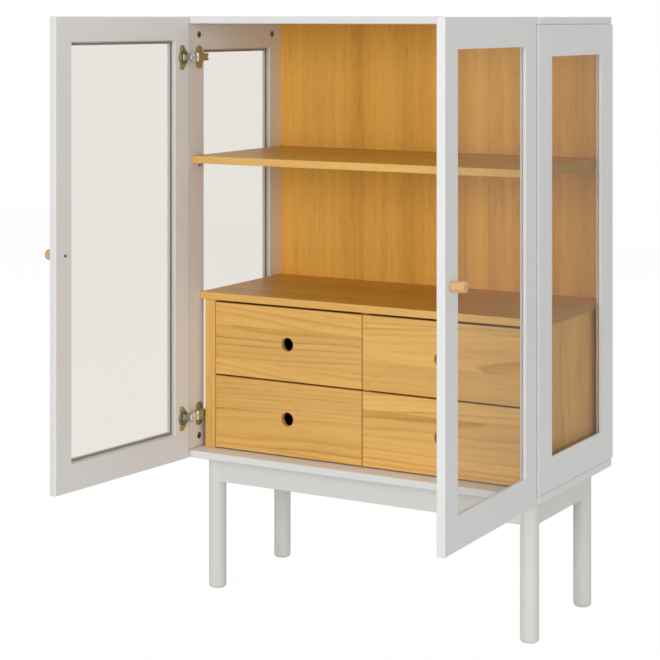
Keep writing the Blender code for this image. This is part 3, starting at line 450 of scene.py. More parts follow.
def paint_material(name, colour, seed, hanging=None, opening=None, plated=None):
    """Painted wood. An opening adds the frame's joint lines with their painted highlight, and plated is a mask
    maker for metal parts.
    """
    material, net, shader = new_material(name)
    place = solid_place(net, hanging)
    joint = None
    if opening:
        x, y, z = net.split(place)
        first, second, lower, upper = opening
        joint = group_outputs(
            net, "Joint lines", joint_highlight_lines, across=x if hanging else y, up=z,
            first_stile=first, second_stile=second, lower_rail=lower, upper_rail=upper,
        )["Mask"]
    variation = settings().paint.variation
    surface = group_outputs(
        net, "Paint film", paint_film, vector=place, color=colour, variation=variation, joint=joint, seed=seed
    )
    if plated:
        metal = settings().metal
        surface = add_metal(net, shader, place, plated, surface, (metal.zinc, metal.zinc_shade))
    wire_surface(net, shader, surface, PAINT_RELIEF)
    return material


def add_metal(net, shader, place, mask_maker, surface, hues):
    """Turns the masked part of a surface to plated metal, and leaves the rest as it was."""
    plating = group_outputs(
        net, "Plated metal", plated_metal, vector=place, color=hues[0], drift_color=hues[1],
        roughness=settings().metal.roughness,
    )
    mask = mask_maker(net, place)
    net.feed(shader.inputs["Metallic"], mask)
    mixed = {label: net.mix(mask, surface[label], plating[label]) for label in ("Roughness", "Height")}
    mixed["Color"] = net.blend(mask, surface["Color"], plating["Color"])
    return mixed


def pine_material(
    name, grain, seed, stave, colours, figure, hanging=None, second_grain=None, plated=None, spacing=None,
    painted_highlight_edge=None, end_place=None,
):
    """Varnished pine, in a light and a dark colour.

    grain names the axes (across, through, along), and figure gives the strengths of its rings, flecks and
    bands. second_grain is another grain past a Y. Before painted_highlight_edge the wood takes the drawers'
    colours, a painted highlight on a board's lit front edge, and past end_place from the middle lies the end
    grain, which takes more varnish. plated masks metal parts.
    """
    pine = settings().pine
    material, net, shader = new_material(name)
    place = solid_place(net, hanging)
    parts = net.split(place)
    light, dark = colours

    def turned(order):
        return net.vector(*(parts[AXES[letter]] for letter in order))

    vector = turned(grain)
    if second_grain:
        order, past = second_grain
        vector = net.blend(net.math("GREATER_THAN", parts[1], past), vector, turned(order))
    # Painted highlight: a board's lit front edge takes the drawers' lighter colours
    if painted_highlight_edge is not None:
        mask = net.math("LESS_THAN", parts[1], painted_highlight_edge)
        light = net.blend(mask, light, pine.front_light)
        dark = net.blend(mask, dark, pine.front_dark)
    if end_place is not None:
        mask = net.math("GREATER_THAN", net.math("ABSOLUTE", parts[0]), end_place)
        light = net.blend(net.times(mask, pine.end_grain), light, dark)
    rings, flecks, bands = figure
    surface = group_outputs(
        net, "Pine grain", pine_grain, vector=vector, stave_width=stave,
        ring_spacing=spacing or pine.ring_spacing, rings=rings, flecks=flecks, bands=bands,
        light=light, dark=dark, tone_variation=pine.tone_variation, seed=seed,
    )
    if plated:
        metal = settings().metal
        surface = add_metal(net, shader, place, plated, surface, (metal.slide, metal.slide_shade))
    shader.inputs["Specular IOR Level"].default_value = pine.sheen
    wire_surface(net, shader, surface, PINE_RELIEF)
    return material


def metal_material(name, colour, drift, roughness, hanging=None, bright=None, metallic=1.0):
    """Plated steel. bright is a mask maker for a plain zinc part, and a dull plating is less metallic."""
    metal = settings().metal
    material, net, shader = new_material(name)
    place = solid_place(net, hanging)
    if bright:
        mask = bright(net, place)
        colour = net.blend(mask, colour, metal.zinc)
        drift = net.blend(mask, drift, metal.zinc_shade)
    surface = group_outputs(
        net, "Plated metal", plated_metal, vector=place, color=colour, drift_color=drift, roughness=roughness
    )
    shader.inputs["Metallic"].default_value = metallic
    wire_surface(net, shader, surface, SMALL_RELIEF)
    return material


def zinc_material(name, roughness):
    metal = settings().metal
    return metal_material(name, metal.zinc, metal.zinc_shade, roughness)


def plain_material(name, colour, roughness):
    """A small dark or moulded part, with a fine mottle."""
    material, net, shader = new_material(name)
    mottle = net.noise(solid_place(net), 1100.0)
    surface = {
        "Color": net.toned(colour, net.scaled(mottle, 0.5, 0.75)),
        "Roughness": net.scaled(mottle, 0.2, roughness - 0.1),
        "Height": mottle,
    }
    wire_surface(net, shader, surface, SMALL_RELIEF)
    return material


def glass_material(name, tint):
    """Clear float glass. Lamps and soft light pass it as plain tinted light."""
    glass = settings().glass
    material, net, shader = new_material(name)
    film = net.ramp(net.noise(solid_place(net), 5.0, 3.0), ((0.45, 0.0), (0.80, 1.0)))
    shader.inputs["Base Color"].default_value = tint
    shader.inputs["Transmission Weight"].default_value = 1
    shader.inputs["IOR"].default_value = glass.ior
    net.feed(shader.inputs["Roughness"], net.times(film, glass.haze))
    clear = net.node("ShaderNodeBsdfTransparent", {0: [channel**0.25 for channel in tint]})
    path = net.node("ShaderNodeLightPath").outputs
    passing = net.math("MAXIMUM", path["Is Shadow Ray"], path["Is Diffuse Ray"])
    show_mixed(net, passing, shader, clear)
    return material


def show_mixed(net, factor, first, second):
    """Puts a mix of two shaders on the material's output."""
    mix = net.node("ShaderNodeMixShader", {0: factor, 1: first.outputs[0], 2: second.outputs[0]})
    net.feed(net.tree.nodes["Material Output"].inputs["Surface"], mix.outputs[0])


def finish(node, material):
    """Gives a solid its material, in every slot that it has."""
    solid = frame["nodes"][node]
    if not solid.material_slots:
        solid.data.materials.append(material)
    for slot in solid.material_slots:
        slot.material = material


def mask_maker(axis, test, limit):
    """Makes the mask of what lies before or past a limit. X counts from the case's middle, to both sides."""

    def mask(net, place):
        value = net.split(place)[AXES[axis]]
        if axis == "X":
            value = net.math("ABSOLUTE", value)
        return net.math(test, value, limit)

    return mask


def add_object(name, data):
    item = bpy.data.objects.new(name, data)
    bpy.context.scene.collection.objects.link(item)
    return item


def shape_mesh(name, shape):
    mesh = bpy.data.meshes.new(name)
    shape.to_mesh(mesh)
    shape.free()
    return mesh


def cut_plate(outlines, thickness, bevel=0.0):
    """A flat plate in XY with its top at Z 0, from an outline and any holes in it, with eased edges."""
    curve = bpy.data.curves.new("plate", "CURVE")
    curve.dimensions = "2D"
    curve.fill_mode = "BOTH"
    curve.extrude = thickness / 2 - bevel
    curve.bevel_depth = bevel
    curve.bevel_resolution = 1
    curve.offset = -bevel
    for outline in outlines:
        spline = curve.splines.new("POLY")
        spline.points.add(len(outline) - 1)
        for point, (x, y) in zip(spline.points, outline):
            point.co = (x, y, 0, 1)
        spline.use_cyclic_u = True
    source = add_object("plate", curve)
    bpy.context.view_layer.update()
    graph = bpy.context.evaluated_depsgraph_get()
    mesh = bpy.data.meshes.new_from_object(source.evaluated_get(graph))
    bpy.data.objects.remove(source, do_unlink=True)
    bpy.data.curves.remove(curve)
    mesh.transform(Matrix.Translation((0, 0, -thickness / 2)))
    return mesh


def circle(radius, steps):
    angles = [2 * math.pi * step / steps for step in range(steps)]
    return [(radius * math.cos(angle), radius * math.sin(angle)) for angle in angles]


def rectangle(width, height):
    a = width / 2
    b = height / 2
    return [(-a, -b), (a, -b), (a, b), (-a, b)]


def cross(length, width):
    """The outline of a cross recess."""
    a = length / 2
    b = width / 2
    return [
        (a, b), (b, b), (b, a), (-b, a), (-b, b), (-a, b),
        (-a, -b), (-b, -b), (-b, -a), (b, -a), (b, -b), (a, -b),
    ]


def slot_outline(length, width, steps=6):
    """A slot along X with round ends."""
    radius = width / 2
    reach = length / 2 - radius
    points = []
    for end in (1, -1):
        for step in range(steps + 1):
            angle = math.pi * (step / steps - 0.5)
            points.append((end * (reach + radius * math.cos(angle)), end * radius * math.sin(angle)))
    return points


def facing(place, towards):
    """A matrix that lays a flat part at place, its Z along towards and its Y upright."""
    z = Vector(towards).normalized()
    x = Vector((0, 0, 1)).cross(z).normalized()
    turn = Matrix((x, z.cross(x), z)).transposed().to_4x4()
    return Matrix.Translation(place) @ turn


def on_case(x, y, z, towards):
    """The same, with the place given from the case's middle and front."""
    return facing(MIDDLE + Vector((x, y, z)), towards)


def raised(place, rise):
    return place @ Matrix.Translation((0, 0, rise))


def assemble(name, parts, materials, body):
    """One object from placed meshes, each with the number of its material, riding on a body."""
    shape = bmesh.new()
    for mesh, place, number in parts:
        start = len(shape.faces)
        shape.from_mesh(mesh)
        shape.faces.ensure_lookup_table()
        fresh = shape.faces[start:]
        bmesh.ops.transform(shape, matrix=place, verts=list({v for face in fresh for v in face.verts}))
        for face in fresh:
            face.material_index = number
    bmesh.ops.remove_doubles(shape, verts=shape.verts, dist=0.000005)
    bmesh.ops.recalc_face_normals(shape, faces=shape.faces)
    mesh = shape_mesh(name, shape)
    for material in materials:
        mesh.materials.append(material)
    piece = add_object(name, mesh)
    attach(piece, body)
    return piece


def join_loops(shape, loops):
    """Smooth faces between closed loops of points, each joined to the next."""
    for first, second in zip(loops, loops[1:]):
        for corners in zip(first, first[1:] + first[:1], second[1:] + second[:1], second):
            shape.faces.new(corners).smooth = True


def link_strap(front, back, height, steps=10):
    """A pressed strap bowed across its height, lying along Y with its back at X 0 and its bow towards -X."""
    thickness = 0.0006
    bow = 0.0016
    lip = 0.002
    shares = [step / steps for step in range(steps + 1)]
    outer = [(-thickness - bow * math.sin(math.pi * share), height * (share - 0.5)) for share in shares]
    outline = outer + [(0, z) for _, z in reversed(outer)]
    shape = bmesh.new()
    stations = (front, front + lip, back - lip, back)
    loops = [[shape.verts.new((x, y, z)) for x, z in outline] for y in stations]
    join_loops(shape, loops)
    for loop in (loops[0], loops[-1]):
        for step in range(steps):
            shape.faces.new((loop[step], loop[step + 1], loop[-step - 2], loop[-step - 1])).smooth = True
    return shape_mesh("strap", shape)


def screw_parts(place, diameter, rise, metal=0, dark=1):
    """A screw head with a cross recess, its top rise above place, and a dark disc under the recess as painted
    shade.
    """
    recess = cross(diameter * 0.62, diameter * 0.16)
    head = cut_plate([circle(diameter / 2, 24), recess], rise, rise * 0.3)
    # Painted shade: a dark disc shows through the recess, where its shade falls
    floor = cut_plate([circle(diameter * 0.36, 16)], rise * 0.2)
    return [(head, raised(place, rise), metal), (floor, raised(place, rise * 0.35), dark)]


def sealant_bead(width, height, seed):
    """An uneven fillet of sealant inside a rectangle, its back on the wall and its foot at Z 0."""
    draw = random.Random(seed)
    profile = ((0.0, 0.0), (1.0, 0.0), (0.62, 0.22), (0.30, 0.52), (0.12, 0.86), (0.0, 1.0))
    shape = bmesh.new()
    loops = []
    for corner in range(4):
        side = height if corner % 2 else width
        steps = round(side / BEAD_STEP)
        for step in range(steps):
            leg = BEAD_LEG * (1 + draw.uniform(-BEAD_SWELL, BEAD_SWELL))
            loop = []
            for inwards, rise in profile:
                corners = rectangle(width - 2 * inwards * leg, height - 2 * inwards * leg)
                start = Vector(corners[corner])
                end = Vector(corners[(corner + 1) % 4])
                x, y = start.lerp(end, step / steps)
                loop.append(shape.verts.new((x, y, rise * leg)))
            loops.append(loop)
    join_loops(shape, loops + loops[:1])
    return shape_mesh("bead", shape)


def seal_parts(width, height, place, seed):
    """A pane's bed and the bead round its inner edge. place is on the pane's outer face, Z inwards. The bed's
    grey is partly the sealant's own colour and partly painted shade of the lip seen through the pane.
    """
    lap = PANE_MARGIN - BED_GAP
    outer = rectangle(width - BED_GAP, height - BED_GAP)
    inner = rectangle(width - 2 * lap, height - 2 * lap)
    bed = cut_plate([outer, inner], SEAT_GAP * 0.6)
    bead = sealant_bead(width + REBATE_GAP * 1.6, height + REBATE_GAP * 1.6, seed)
    return [(bed, raised(place, -SEAT_GAP * 0.2), 0), (bead, raised(place, PANE_THICKNESS + FACE_GAP / 2), 1)]


def colour_setting(name, description, red, green, blue):
    return FloatVectorProperty(
        name=name, description=description, subtype="COLOR", size=4, min=0, max=1,
        default=(red, green, blue, 1),
    )


def length_setting(name, description, least, most, default):
    return FloatProperty(
        name=name, description=description, unit="LENGTH", min=least, max=most, default=default
    )


def share_setting(name, description, default, most=1):
    return FloatProperty(
        name=name, description=description, subtype="FACTOR", min=0, max=most, default=default
    )


def power_setting(name, description, default):
    return FloatProperty(name=name, description=description, unit="POWER", min=0, default=default)


class PaintSettings(PropertyGroup):
    white: colour_setting("White paint", "Case, side frames and doors", 0.83, 0.83, 0.82)
    cream: colour_setting("Cream paint", "Legs and rails", 0.80, 0.79, 0.75)
    variation: share_setting("Variation", "How much the paint's tone drifts", 0.03, most=0.2)


class PineSettings(PropertyGroup):
    light: colour_setting("Early wood", "Pale bands of the back, shelves and drawer unit", 0.90, 0.50, 0.092)
    dark: colour_setting("Late wood", "Dark bands of the back, shelves and drawer unit", 0.52, 0.215, 0.022)
    # The shelves' colours are darker copies of the case's pine: painted shade on the shelf's and the unit
    # top's faces
    shelf_light_painted_shade: colour_setting("Early wood, shelves", "Pale bands of the shelves' faces", 0.68, 0.375, 0.055)
    shelf_dark_painted_shade: colour_setting("Late wood, shelves", "Dark bands of the shelves' faces", 0.42, 0.190, 0.013)
    # The drawers' colours also paint the boards' lit front edges, as a painted highlight
    front_light: colour_setting("Early wood, drawers", "Pale bands of the drawer fronts", 0.90, 0.545, 0.165)
    front_dark: colour_setting("Late wood, drawers", "Dark bands of the drawer fronts", 0.56, 0.262, 0.045)
    knob_light: colour_setting("Early wood, knobs", "Pale bands of the knobs", 0.82, 0.52, 0.27)
    stave: length_setting("Stave width", "Width of the glued staves in the panels", 0.02, 0.3, 0.055)
    ring_spacing: length_setting("Ring spacing", "Distance between growth rings", 0.001, 0.02, 0.0055)
    tone_variation: share_setting("Tone variation", "How much the staves differ", 0.14, most=0.5)
    end_grain: share_setting("End grain", "How far the shelves' ends go towards the late wood", 0.7)
    sheen: share_setting("Sheen", "Specular level of the satin varnish", 0.22)


class GlassSettings(PropertyGroup):
    tint: colour_setting("Tint", "Colour of the panes", 0.81, 0.785, 0.735)
    ior: FloatProperty(name="Refraction", description="Index of refraction", min=1, max=2, default=1.115)
    haze: share_setting("Haze", "Roughness of the faint film on the panes", 0.01, most=0.2)
    # The bed's grey is partly the sealant's colour and partly painted shade on the rebate's lip behind the
    # pane
    bed: colour_setting("Sealant bed", "The sealant between a pane and its frame", 0.46, 0.45, 0.42)
    bead: colour_setting("Sealant bead", "The bead of sealant round a pane's edge", 0.60, 0.60, 0.58)


class MetalSettings(PropertyGroup):
    link: colour_setting("Bright zinc", "Links of the hinges", 0.80, 0.84, 0.88)
    cam: colour_setting("Dull zinc", "Cam locks", 0.26, 0.24, 0.22)
    zinc: colour_setting("Zinc", "Pins, supports and screws", 0.62, 0.63, 0.64)
    zinc_shade: colour_setting("Zinc, darker", "The other hue of the zinc", 0.50, 0.51, 0.53)
    slide: colour_setting("Slide zinc", "Slides of the drawers", 0.38, 0.40, 0.37)
    slide_shade: colour_setting("Slide zinc, darker", "The other hue of the slides", 0.28, 0.29, 0.27)
    yellow: colour_setting("Yellow zinc", "Hinge arms and cups", 0.40, 0.41, 0.23)
    yellow_shade: colour_setting("Yellow zinc, pinker", "The other hue of the hinges", 0.50, 0.42, 0.27)
    hinge_polish: share_setting("Hinge polish", "How metallic the hinges' plating is", 0.65)
    roughness: share_setting("Roughness", "Roughness of the plating", 0.30)


class FittingSettings(PropertyGroup):
    cam_diameter: length_setting("Cam lock", "Diameter of the panels' cam locks", 0.008, 0.03, 0.015)
    screw_diameter: length_setting("Screw head", "Diameter of the hinges' screw heads", 0.003, 0.01, 0.0072)
    slide_screw_diameter: length_setting(
        "Slide screw head", "Diameter of the slides' screw heads", 0.003, 0.012, 0.0085
    )
    bumper_length: length_setting("Bumper", "Length of the slides' black bumpers", 0.004, 0.03, 0.014)


class StageSettings(PropertyGroup):
    camera_place: FloatVectorProperty(
        name="Camera", description="Place of the camera from the case's middle and front",
        subtype="TRANSLATION", unit="LENGTH", default=(2.081, -3.6967, 1.3349),
    )
    camera_turn: FloatProperty(
        name="Camera turn", description="Heading of the camera", unit="ROTATION", default=math.radians(30.01)
    )
    lens: FloatProperty(name="Lens", description="Focal length in mm", min=20, max=300, default=104.8)
    shift: FloatProperty(
        name="Lens shift", description="Vertical shift of the lens", min=-1, max=1, default=-0.4752
    )
    key_power: power_setting("Key lamp", "Power of the large lamp at the front left", 98)
    fill_power: power_setting("Fill lamp", "Power of the lamp at the right", 71)
    top_power: power_setting("Top lamp", "Power of the lamp overhead", 6)
    back_power: power_setting("Back lamp", "Power of the lamp behind the cabinet", 60)
    surround: FloatProperty(
        name="Surround", description="Strength of the white surround as it lights the cabinet",
        min=0, max=2, default=0.43,
    )


class CabinetSettings(PropertyGroup):
    paint: PointerProperty(type=PaintSettings)
    pine: PointerProperty(type=PineSettings)
    glass: PointerProperty(type=GlassSettings)
    metal: PointerProperty(type=MetalSettings)
    fittings: PointerProperty(type=FittingSettings)
    stage: PointerProperty(type=StageSettings)


class CABINET_OT_paint_case(Operator):
    """Paints the top, the bottom and the two side frames white"""

    bl_idname = "china_cabinet.paint_case"
    bl_label = "Paint the Case"

    def execute(self, context):
        white = settings().paint.white
        for seed, node in enumerate(("top_panel", "bottom_panel")):
            finish(node, paint_material(f"white paint, {node}", white, seed))
        pins = mask_maker("X", "LESS_THAN", SIDE_INNER - 2 * FACE_GAP)
        for label in SIDES:
            low, high = (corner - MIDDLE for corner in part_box(f"{label}_side_glass"))
            opening = (low.y + PANE_MARGIN, high.y - PANE_MARGIN, low.z + PANE_MARGIN, high.z - PANE_MARGIN)
            node = f"{label}_side_frame"
            finish(node, paint_material(f"white paint, {node}", white, 3, opening=opening, plated=pins))
        return {"FINISHED"}


class CABINET_OT_paint_doors(Operator):
    """Paints the two door frames white, with their joint lines and the painted highlight along them"""

    bl_idname = "china_cabinet.paint_doors"
    bl_label = "Paint the Doors"

    def execute(self, context):
        white = settings().paint.white
        for seed, (label, side) in enumerate(SIDES.items(), 5):
            stiles = sorted((side * DOOR_OPENING[0], side * DOOR_OPENING[1]))
            opening = (*stiles, *DOOR_OPENING[2:])
            node = f"{label}_door_frame"
            finish(node, paint_material(f"white paint, {node}", white, seed, door_hanging(label), opening))
        return {"FINISHED"}


class CABINET_OT_paint_base(Operator):
    """Paints the four legs and four rails cream"""

    bl_idname = "china_cabinet.paint_base"
    bl_label = "Paint the Base"

    def execute(self, context):
        cream = settings().paint.cream
        for seed, node in enumerate(sorted(frame["nodes"])):
            if node.endswith(("_leg", "_rail")):
                finish(node, paint_material(f"cream paint, {node}", cream, seed))
        return {"FINISHED"}


class CABINET_OT_glaze(Operator):
    """Gives the four panes their glass"""

    bl_idname = "china_cabinet.glaze"
    bl_label = "Glaze the Doors and Sides"

    def execute(self, context):
        glass = glass_material("clear glass", settings().glass.tint)
        for label in SIDES:
            finish(f"{label}_side_glass", glass)
            finish(f"{label}_door_glass", glass)
        return {"FINISHED"}


class CABINET_OT_bed_panes(Operator):
    """Beds the four panes on sealant and runs a bead of it round their edges, inside the rebates"""

    bl_idname = "china_cabinet.bed_panes"
    bl_label = "Bed the Panes"

    def execute(self, context):
        glass = settings().glass
        bed = plain_material("sealant bed", glass.bed, 0.6)
        bead = plain_material("sealant bead", glass.bead, 0.2)
        for seed, (label, side) in enumerate(SIDES.items()):
            low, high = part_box(f"{label}_side_glass")
            face = high.x if side > 0 else low.x
            place = facing((face, (low.y + high.y) / 2, (low.z + high.z) / 2), (-side, 0, 0))
            parts = seal_parts(high.y - low.y, high.z - low.z, place, seed)
            assemble(f"{label}_side_glazing_seal", parts, (bed, bead), "carcass")

            first, second, lower, upper = DOOR_OPENING
            width = second - first + PANE_MARGIN * 2
            height = upper - lower + PANE_MARGIN * 2
            middle = (side * (first + second) / 2, DOOR_PANE_FRONT, (lower + upper) / 2)
            place = door_hanging(label) @ facing(middle, BACKWARDS)
            parts = seal_parts(width, height, place, seed + 2)
            assemble(f"{label}_door_glazing_seal", parts, (bed, bead), f"{label}_door")
        return {"FINISHED"}


class CABINET_OT_finish_pine(Operator):
    """Varnishes the back panel, the shelf and the drawer unit's case, with painted shade on the shelf's and
    the unit top's faces and a painted highlight on the boards' front edges
    """

    bl_idname = "china_cabinet.finish_pine"
    bl_label = "Varnish the Pine"

    def execute(self, context):
        pine = settings().pine
        case = (pine.light, pine.dark)
        # Painted shade: the shelf and the unit's top take the darker shelf colours
        shelves = (pine.shelf_light_painted_shade, pine.shelf_dark_painted_shade)
        finish("back_panel", pine_material("pine, back panel", "XYZ", 1, pine.stave, case, VENEER))
        on_panels = mask_maker("X", "LESS_THAN", UNIT_INNER - FACE_GAP)
        on_partition = mask_maker("X", "GREATER_THAN", PARTITION_FACE + FACE_GAP)
        boards = (
            ("upper_shelf", "YZX", shelves, SHELF, None),
            ("drawer_unit_top", "YZX", shelves, SHELF, None),
            ("drawer_unit_left_panel", "YXZ", case, SOLID, on_panels),
            ("drawer_unit_right_panel", "YXZ", case, SOLID, on_panels),
            ("drawer_unit_partition", "YXZ", case, SOLID, on_partition),
        )
        for seed, (node, grain, colours, figure, slides) in enumerate(boards, 2):
            low, high = (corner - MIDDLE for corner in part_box(node))
            board = pine_material(
                f"pine, {node}", grain, seed, pine.stave, colours, figure, plated=slides,
                painted_highlight_edge=low.y + PAINTED_HIGHLIGHT_DEPTH, end_place=None if slides else high.x - END_DEPTH,
            )
            finish(node, board)
        return {"FINISHED"}


class CABINET_OT_finish_drawers(Operator):
    """Varnishes the drawer fronts and boxes"""

    bl_idname = "china_cabinet.finish_drawers"
    bl_label = "Varnish the Drawers"

    def execute(self, context):
        pine = settings().pine
        colours = (pine.front_light, pine.front_dark)
        drawers = [f"{label}_{level}_drawer" for label in SIDES for level in LEVELS]
        for number, name in enumerate(drawers):
            seed = 10 + 2 * number
            front = pine_material(
                f"pine, {name} front", "ZYX", seed, FRONT_STAVE, colours, SOLID,
                spacing=pine.ring_spacing * 1.4,
            )
            finish(f"{name}_front", front)
            box = pine_material(
                f"pine, {name} box", "ZXY", seed + 1, BOX_STAVE, colours, BOX,
                second_grain=("ZYX", BOX_BACK_WALL),
            )
            finish(f"{name}_box", box)
        return {"FINISHED"}


class CABINET_OT_finish_knobs(Operator):
    """Varnishes the two turned knobs and leaves their screws plated"""

    bl_idname = "china_cabinet.finish_knobs"
    bl_label = "Varnish the Knobs"

    def execute(self, context):
        pine = settings().pine
        screw = mask_maker("Y", "GREATER_THAN", KNOB_BACK)
        for seed, label in enumerate(SIDES, 30):
            knob = pine_material(
                f"pine, {label} knob", "XZY", seed, KNOB_STAVE, (pine.knob_light, pine.front_dark), TURNED,
                hanging=door_hanging(label), plated=screw, spacing=0.003,
            )
            finish(f"{label}_door_knob", knob)
        return {"FINISHED"}


class CABINET_OT_plate_slides(Operator):
    """Gives the drawer slides their zinc"""

    bl_idname = "china_cabinet.plate_slides"
    bl_label = "Plate the Slides"

    def execute(self, context):
        metal = settings().metal
        zinc = metal_material("zinc, slides", metal.slide, metal.slide_shade, metal.roughness)
        for node in frame["nodes"]:
            if node.endswith("_member"):
                finish(node, zinc)
        return {"FINISHED"}


class CABINET_OT_plate_hinges(Operator):
    """Gives the hinge arms and cups their yellow zinc, with bright cranks"""

    bl_idname = "china_cabinet.plate_hinges"
    bl_label = "Plate the Hinges"

    def execute(self, context):
        metal = settings().metal
        yellow = (metal.yellow, metal.yellow_shade, metal.roughness)
        polish = metal.hinge_polish
        crank = mask_maker("Y", "LESS_THAN", ARM_FRONT - 5 * FACE_GAP)
        arm = metal_material("yellow zinc, arms", *yellow, bright=crank, metallic=polish)
        for label in SIDES:
            cup = metal_material(
                f"yellow zinc, {label} cups", *yellow, hanging=door_hanging(label), metallic=polish
            )
            for level in LEVELS:
                finish(f"{label}_{level}_hinge_arm", arm)
                finish(f"{label}_door_{level}_hinge_cup", cup)
        return {"FINISHED"}


class CABINET_OT_fit_cams(Operator):
    """Fits the cam locks that hold the top and bottom to the side frames"""

    bl_idname = "china_cabinet.fit_cams"
    bl_label = "Fit the Cam Locks"

    def execute(self, context):
        metal = settings().metal
        radius = settings().fittings.cam_diameter / 2
        zinc = metal_material("zinc, cam locks", metal.cam, metal.cam, 0.45)
        dark = plain_material("dark gap", (0.03, 0.03, 0.03, 1), 0.6)
        # Outlines, thickness, bevel and material of a lock's rim, its disc and the floor of its cross. The rim
        # and the floor are dark as painted shade, of the gap round the cam and of the cross recess
        layers = (
            ([circle(radius, 32), circle(radius * 0.84, 32)], 0.0004, 0.0001, 1),
            ([circle(radius * 0.82, 32), cross(radius, radius * 0.26)], 0.0003, 0.0, 0),
            ([circle(radius * 0.9, 32)], 0.0001, 0.0, 1),
        )
        for label, side in SIDES.items():
            parts = []
            for y, z in CAM_PLACES:
                place = on_case(side * SIDE_INNER, y, z, (-side, 0, 0))
                for outlines, thickness, bevel, number in layers:
                    parts.append((cut_plate(outlines, thickness, bevel), raised(place, thickness), number))
            assemble(f"{label}_cam_locks", parts, (zinc, dark), "carcass")
        return {"FINISHED"}


class CABINET_OT_fit_shelf_supports(Operator):
    """Fits the angled supports on the shelf pins"""

    bl_idname = "china_cabinet.fit_shelf_supports"
    bl_label = "Fit the Shelf Supports"

    def execute(self, context):
        zinc = zinc_material("zinc, shelf supports", 0.32)
        shelf_low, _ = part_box("upper_shelf")
        top = shelf_low.z - 3 * FACE_GAP
        upright = Matrix.Rotation(math.pi / 2, 4, "X")
        for label, side in SIDES.items():
            parts = []
            for y in SUPPORT_PLACES:
                bent = cut_plate([[(side * -x, z) for x, z in SUPPORT_ANGLE]], SUPPORT_DEPTH, 0.0002)
                corner = MIDDLE + Vector((side * (SIDE_INNER - 2 * FACE_GAP), y, top))
                parts.append((bent, raised(Matrix.Translation(corner) @ upright, SUPPORT_DEPTH / 2), 0))
            assemble(f"{label}_shelf_supports", parts, (zinc,), "carcass")
        return {"FINISHED"}


class CABINET_OT_fit_hinge_screws(Operator):
    """Fits the screws of the hinge arms and of the hinge cups"""

    bl_idname = "china_cabinet.fit_hinge_screws"
    bl_label = "Fit the Hinge Screws"

    def execute(self, context):
        diameter = settings().fittings.screw_diameter
        zinc = zinc_material("zinc, hinge screws", 0.28)
        # The screws' recesses are dark as painted shade
        dark = plain_material("dark recess", (0.05, 0.045, 0.035, 1), 0.5)
        for label, side in SIDES.items():
            hanging = door_hanging(label)
            inwards = (-side, 0, 0)
            for level, height in HINGE_HEIGHTS.items():
                parts = []
                x, y = PLATE_SCREWS
                for rise in (-PLATE_SCREW_RISE, PLATE_SCREW_RISE):
                    parts += screw_parts(on_case(side * x, y, height + rise, inwards), diameter, HEAD_HEIGHT)
                for x, y, size in ARM_SCREWS:
                    parts += screw_parts(on_case(side * x, y, height, inwards), size, ARM_HEAD_HEIGHT)
                assemble(f"{label}_{level}_hinge_arm_screws", parts, (zinc, dark), "carcass")
                parts = []
                x, y = EAR_PLACE
                for rise in (-EAR_RISE, EAR_RISE):
                    place = hanging @ facing((side * x, y, height + rise), BACKWARDS)
                    parts += screw_parts(place, diameter, HEAD_HEIGHT)
                assemble(f"{label}_door_{level}_cup_screws", parts, (zinc, dark), f"{label}_door")
        return {"FINISHED"}


class CABINET_OT_fit_hinge_links(Operator):
    """Fits the bowed links that run from the hinge cups back into the hinge arms"""

    bl_idname = "china_cabinet.fit_hinge_links"
    bl_label = "Fit the Hinge Links"

    def execute(self, context):
        metal = settings().metal
        zinc = metal_material("zinc, hinge links", metal.link, metal.zinc, 0.32, metallic=0.5)
        for label, side in SIDES.items():
            for level, height in HINGE_HEIGHTS.items():
                neck = link_strap(NECK_FRONT, LINK_FRONT, NECK_HEIGHT)
                strap = link_strap(LINK_FRONT, LINK_BACK, LINK_HEIGHT)
                knuckle = cut_plate([circle(KNUCKLE_RADIUS, 20)], LINK_HEIGHT, 0.0004)
                face = MIDDLE + Vector((side * (LINK_FACE - FACE_GAP), 0, height))
                on_face = Matrix.Translation(face) @ Matrix.Diagonal((side, 1, 1, 1))
                x, y = KNUCKLE_MIDDLE
                on_end = Matrix.Translation(MIDDLE + Vector((side * x, y, height + LINK_HEIGHT / 2)))
                parts = [(neck, on_face, 0), (strap, on_face, 0), (knuckle, on_end, 0)]
                assemble(f"{label}_{level}_hinge_link", parts, (zinc,), "carcass")
        return {"FINISHED"}


class CABINET_OT_fit_slide_details(Operator):
    """Fits the slides' screws and bumpers, and dark plates of painted shade where their slots show"""

    bl_idname = "china_cabinet.fit_slide_details"
    bl_label = "Fit the Slide Details"

    def execute(self, context):
        zinc = zinc_material("zinc, slide screws", 0.22)
        dark = plain_material("dark slot", (0.03, 0.03, 0.03, 1), 0.6)
        black = plain_material("black bumper", (0.02, 0.02, 0.02, 1), 0.45)
        for label, side in SIDES.items():
            for level in LEVELS:
                drawer_parts = []
                runner_parts = []
                for board, outwards in ((PARTITION_FACE, 1), (UNIT_INNER, -1)):
                    on_drawer, on_runner = slide_details(side, board, outwards, SLIDE_LEVELS[level])
                    drawer_parts += on_drawer
                    runner_parts += on_runner
                name = f"{label}_{level}"
                materials = (zinc, dark, black)
                assemble(f"{name}_drawer_slide_screws", drawer_parts, materials, f"{name}_drawer")
                assemble(f"{name}_runner_slots", runner_parts, materials, f"{name}_runners")
        return {"FINISHED"}


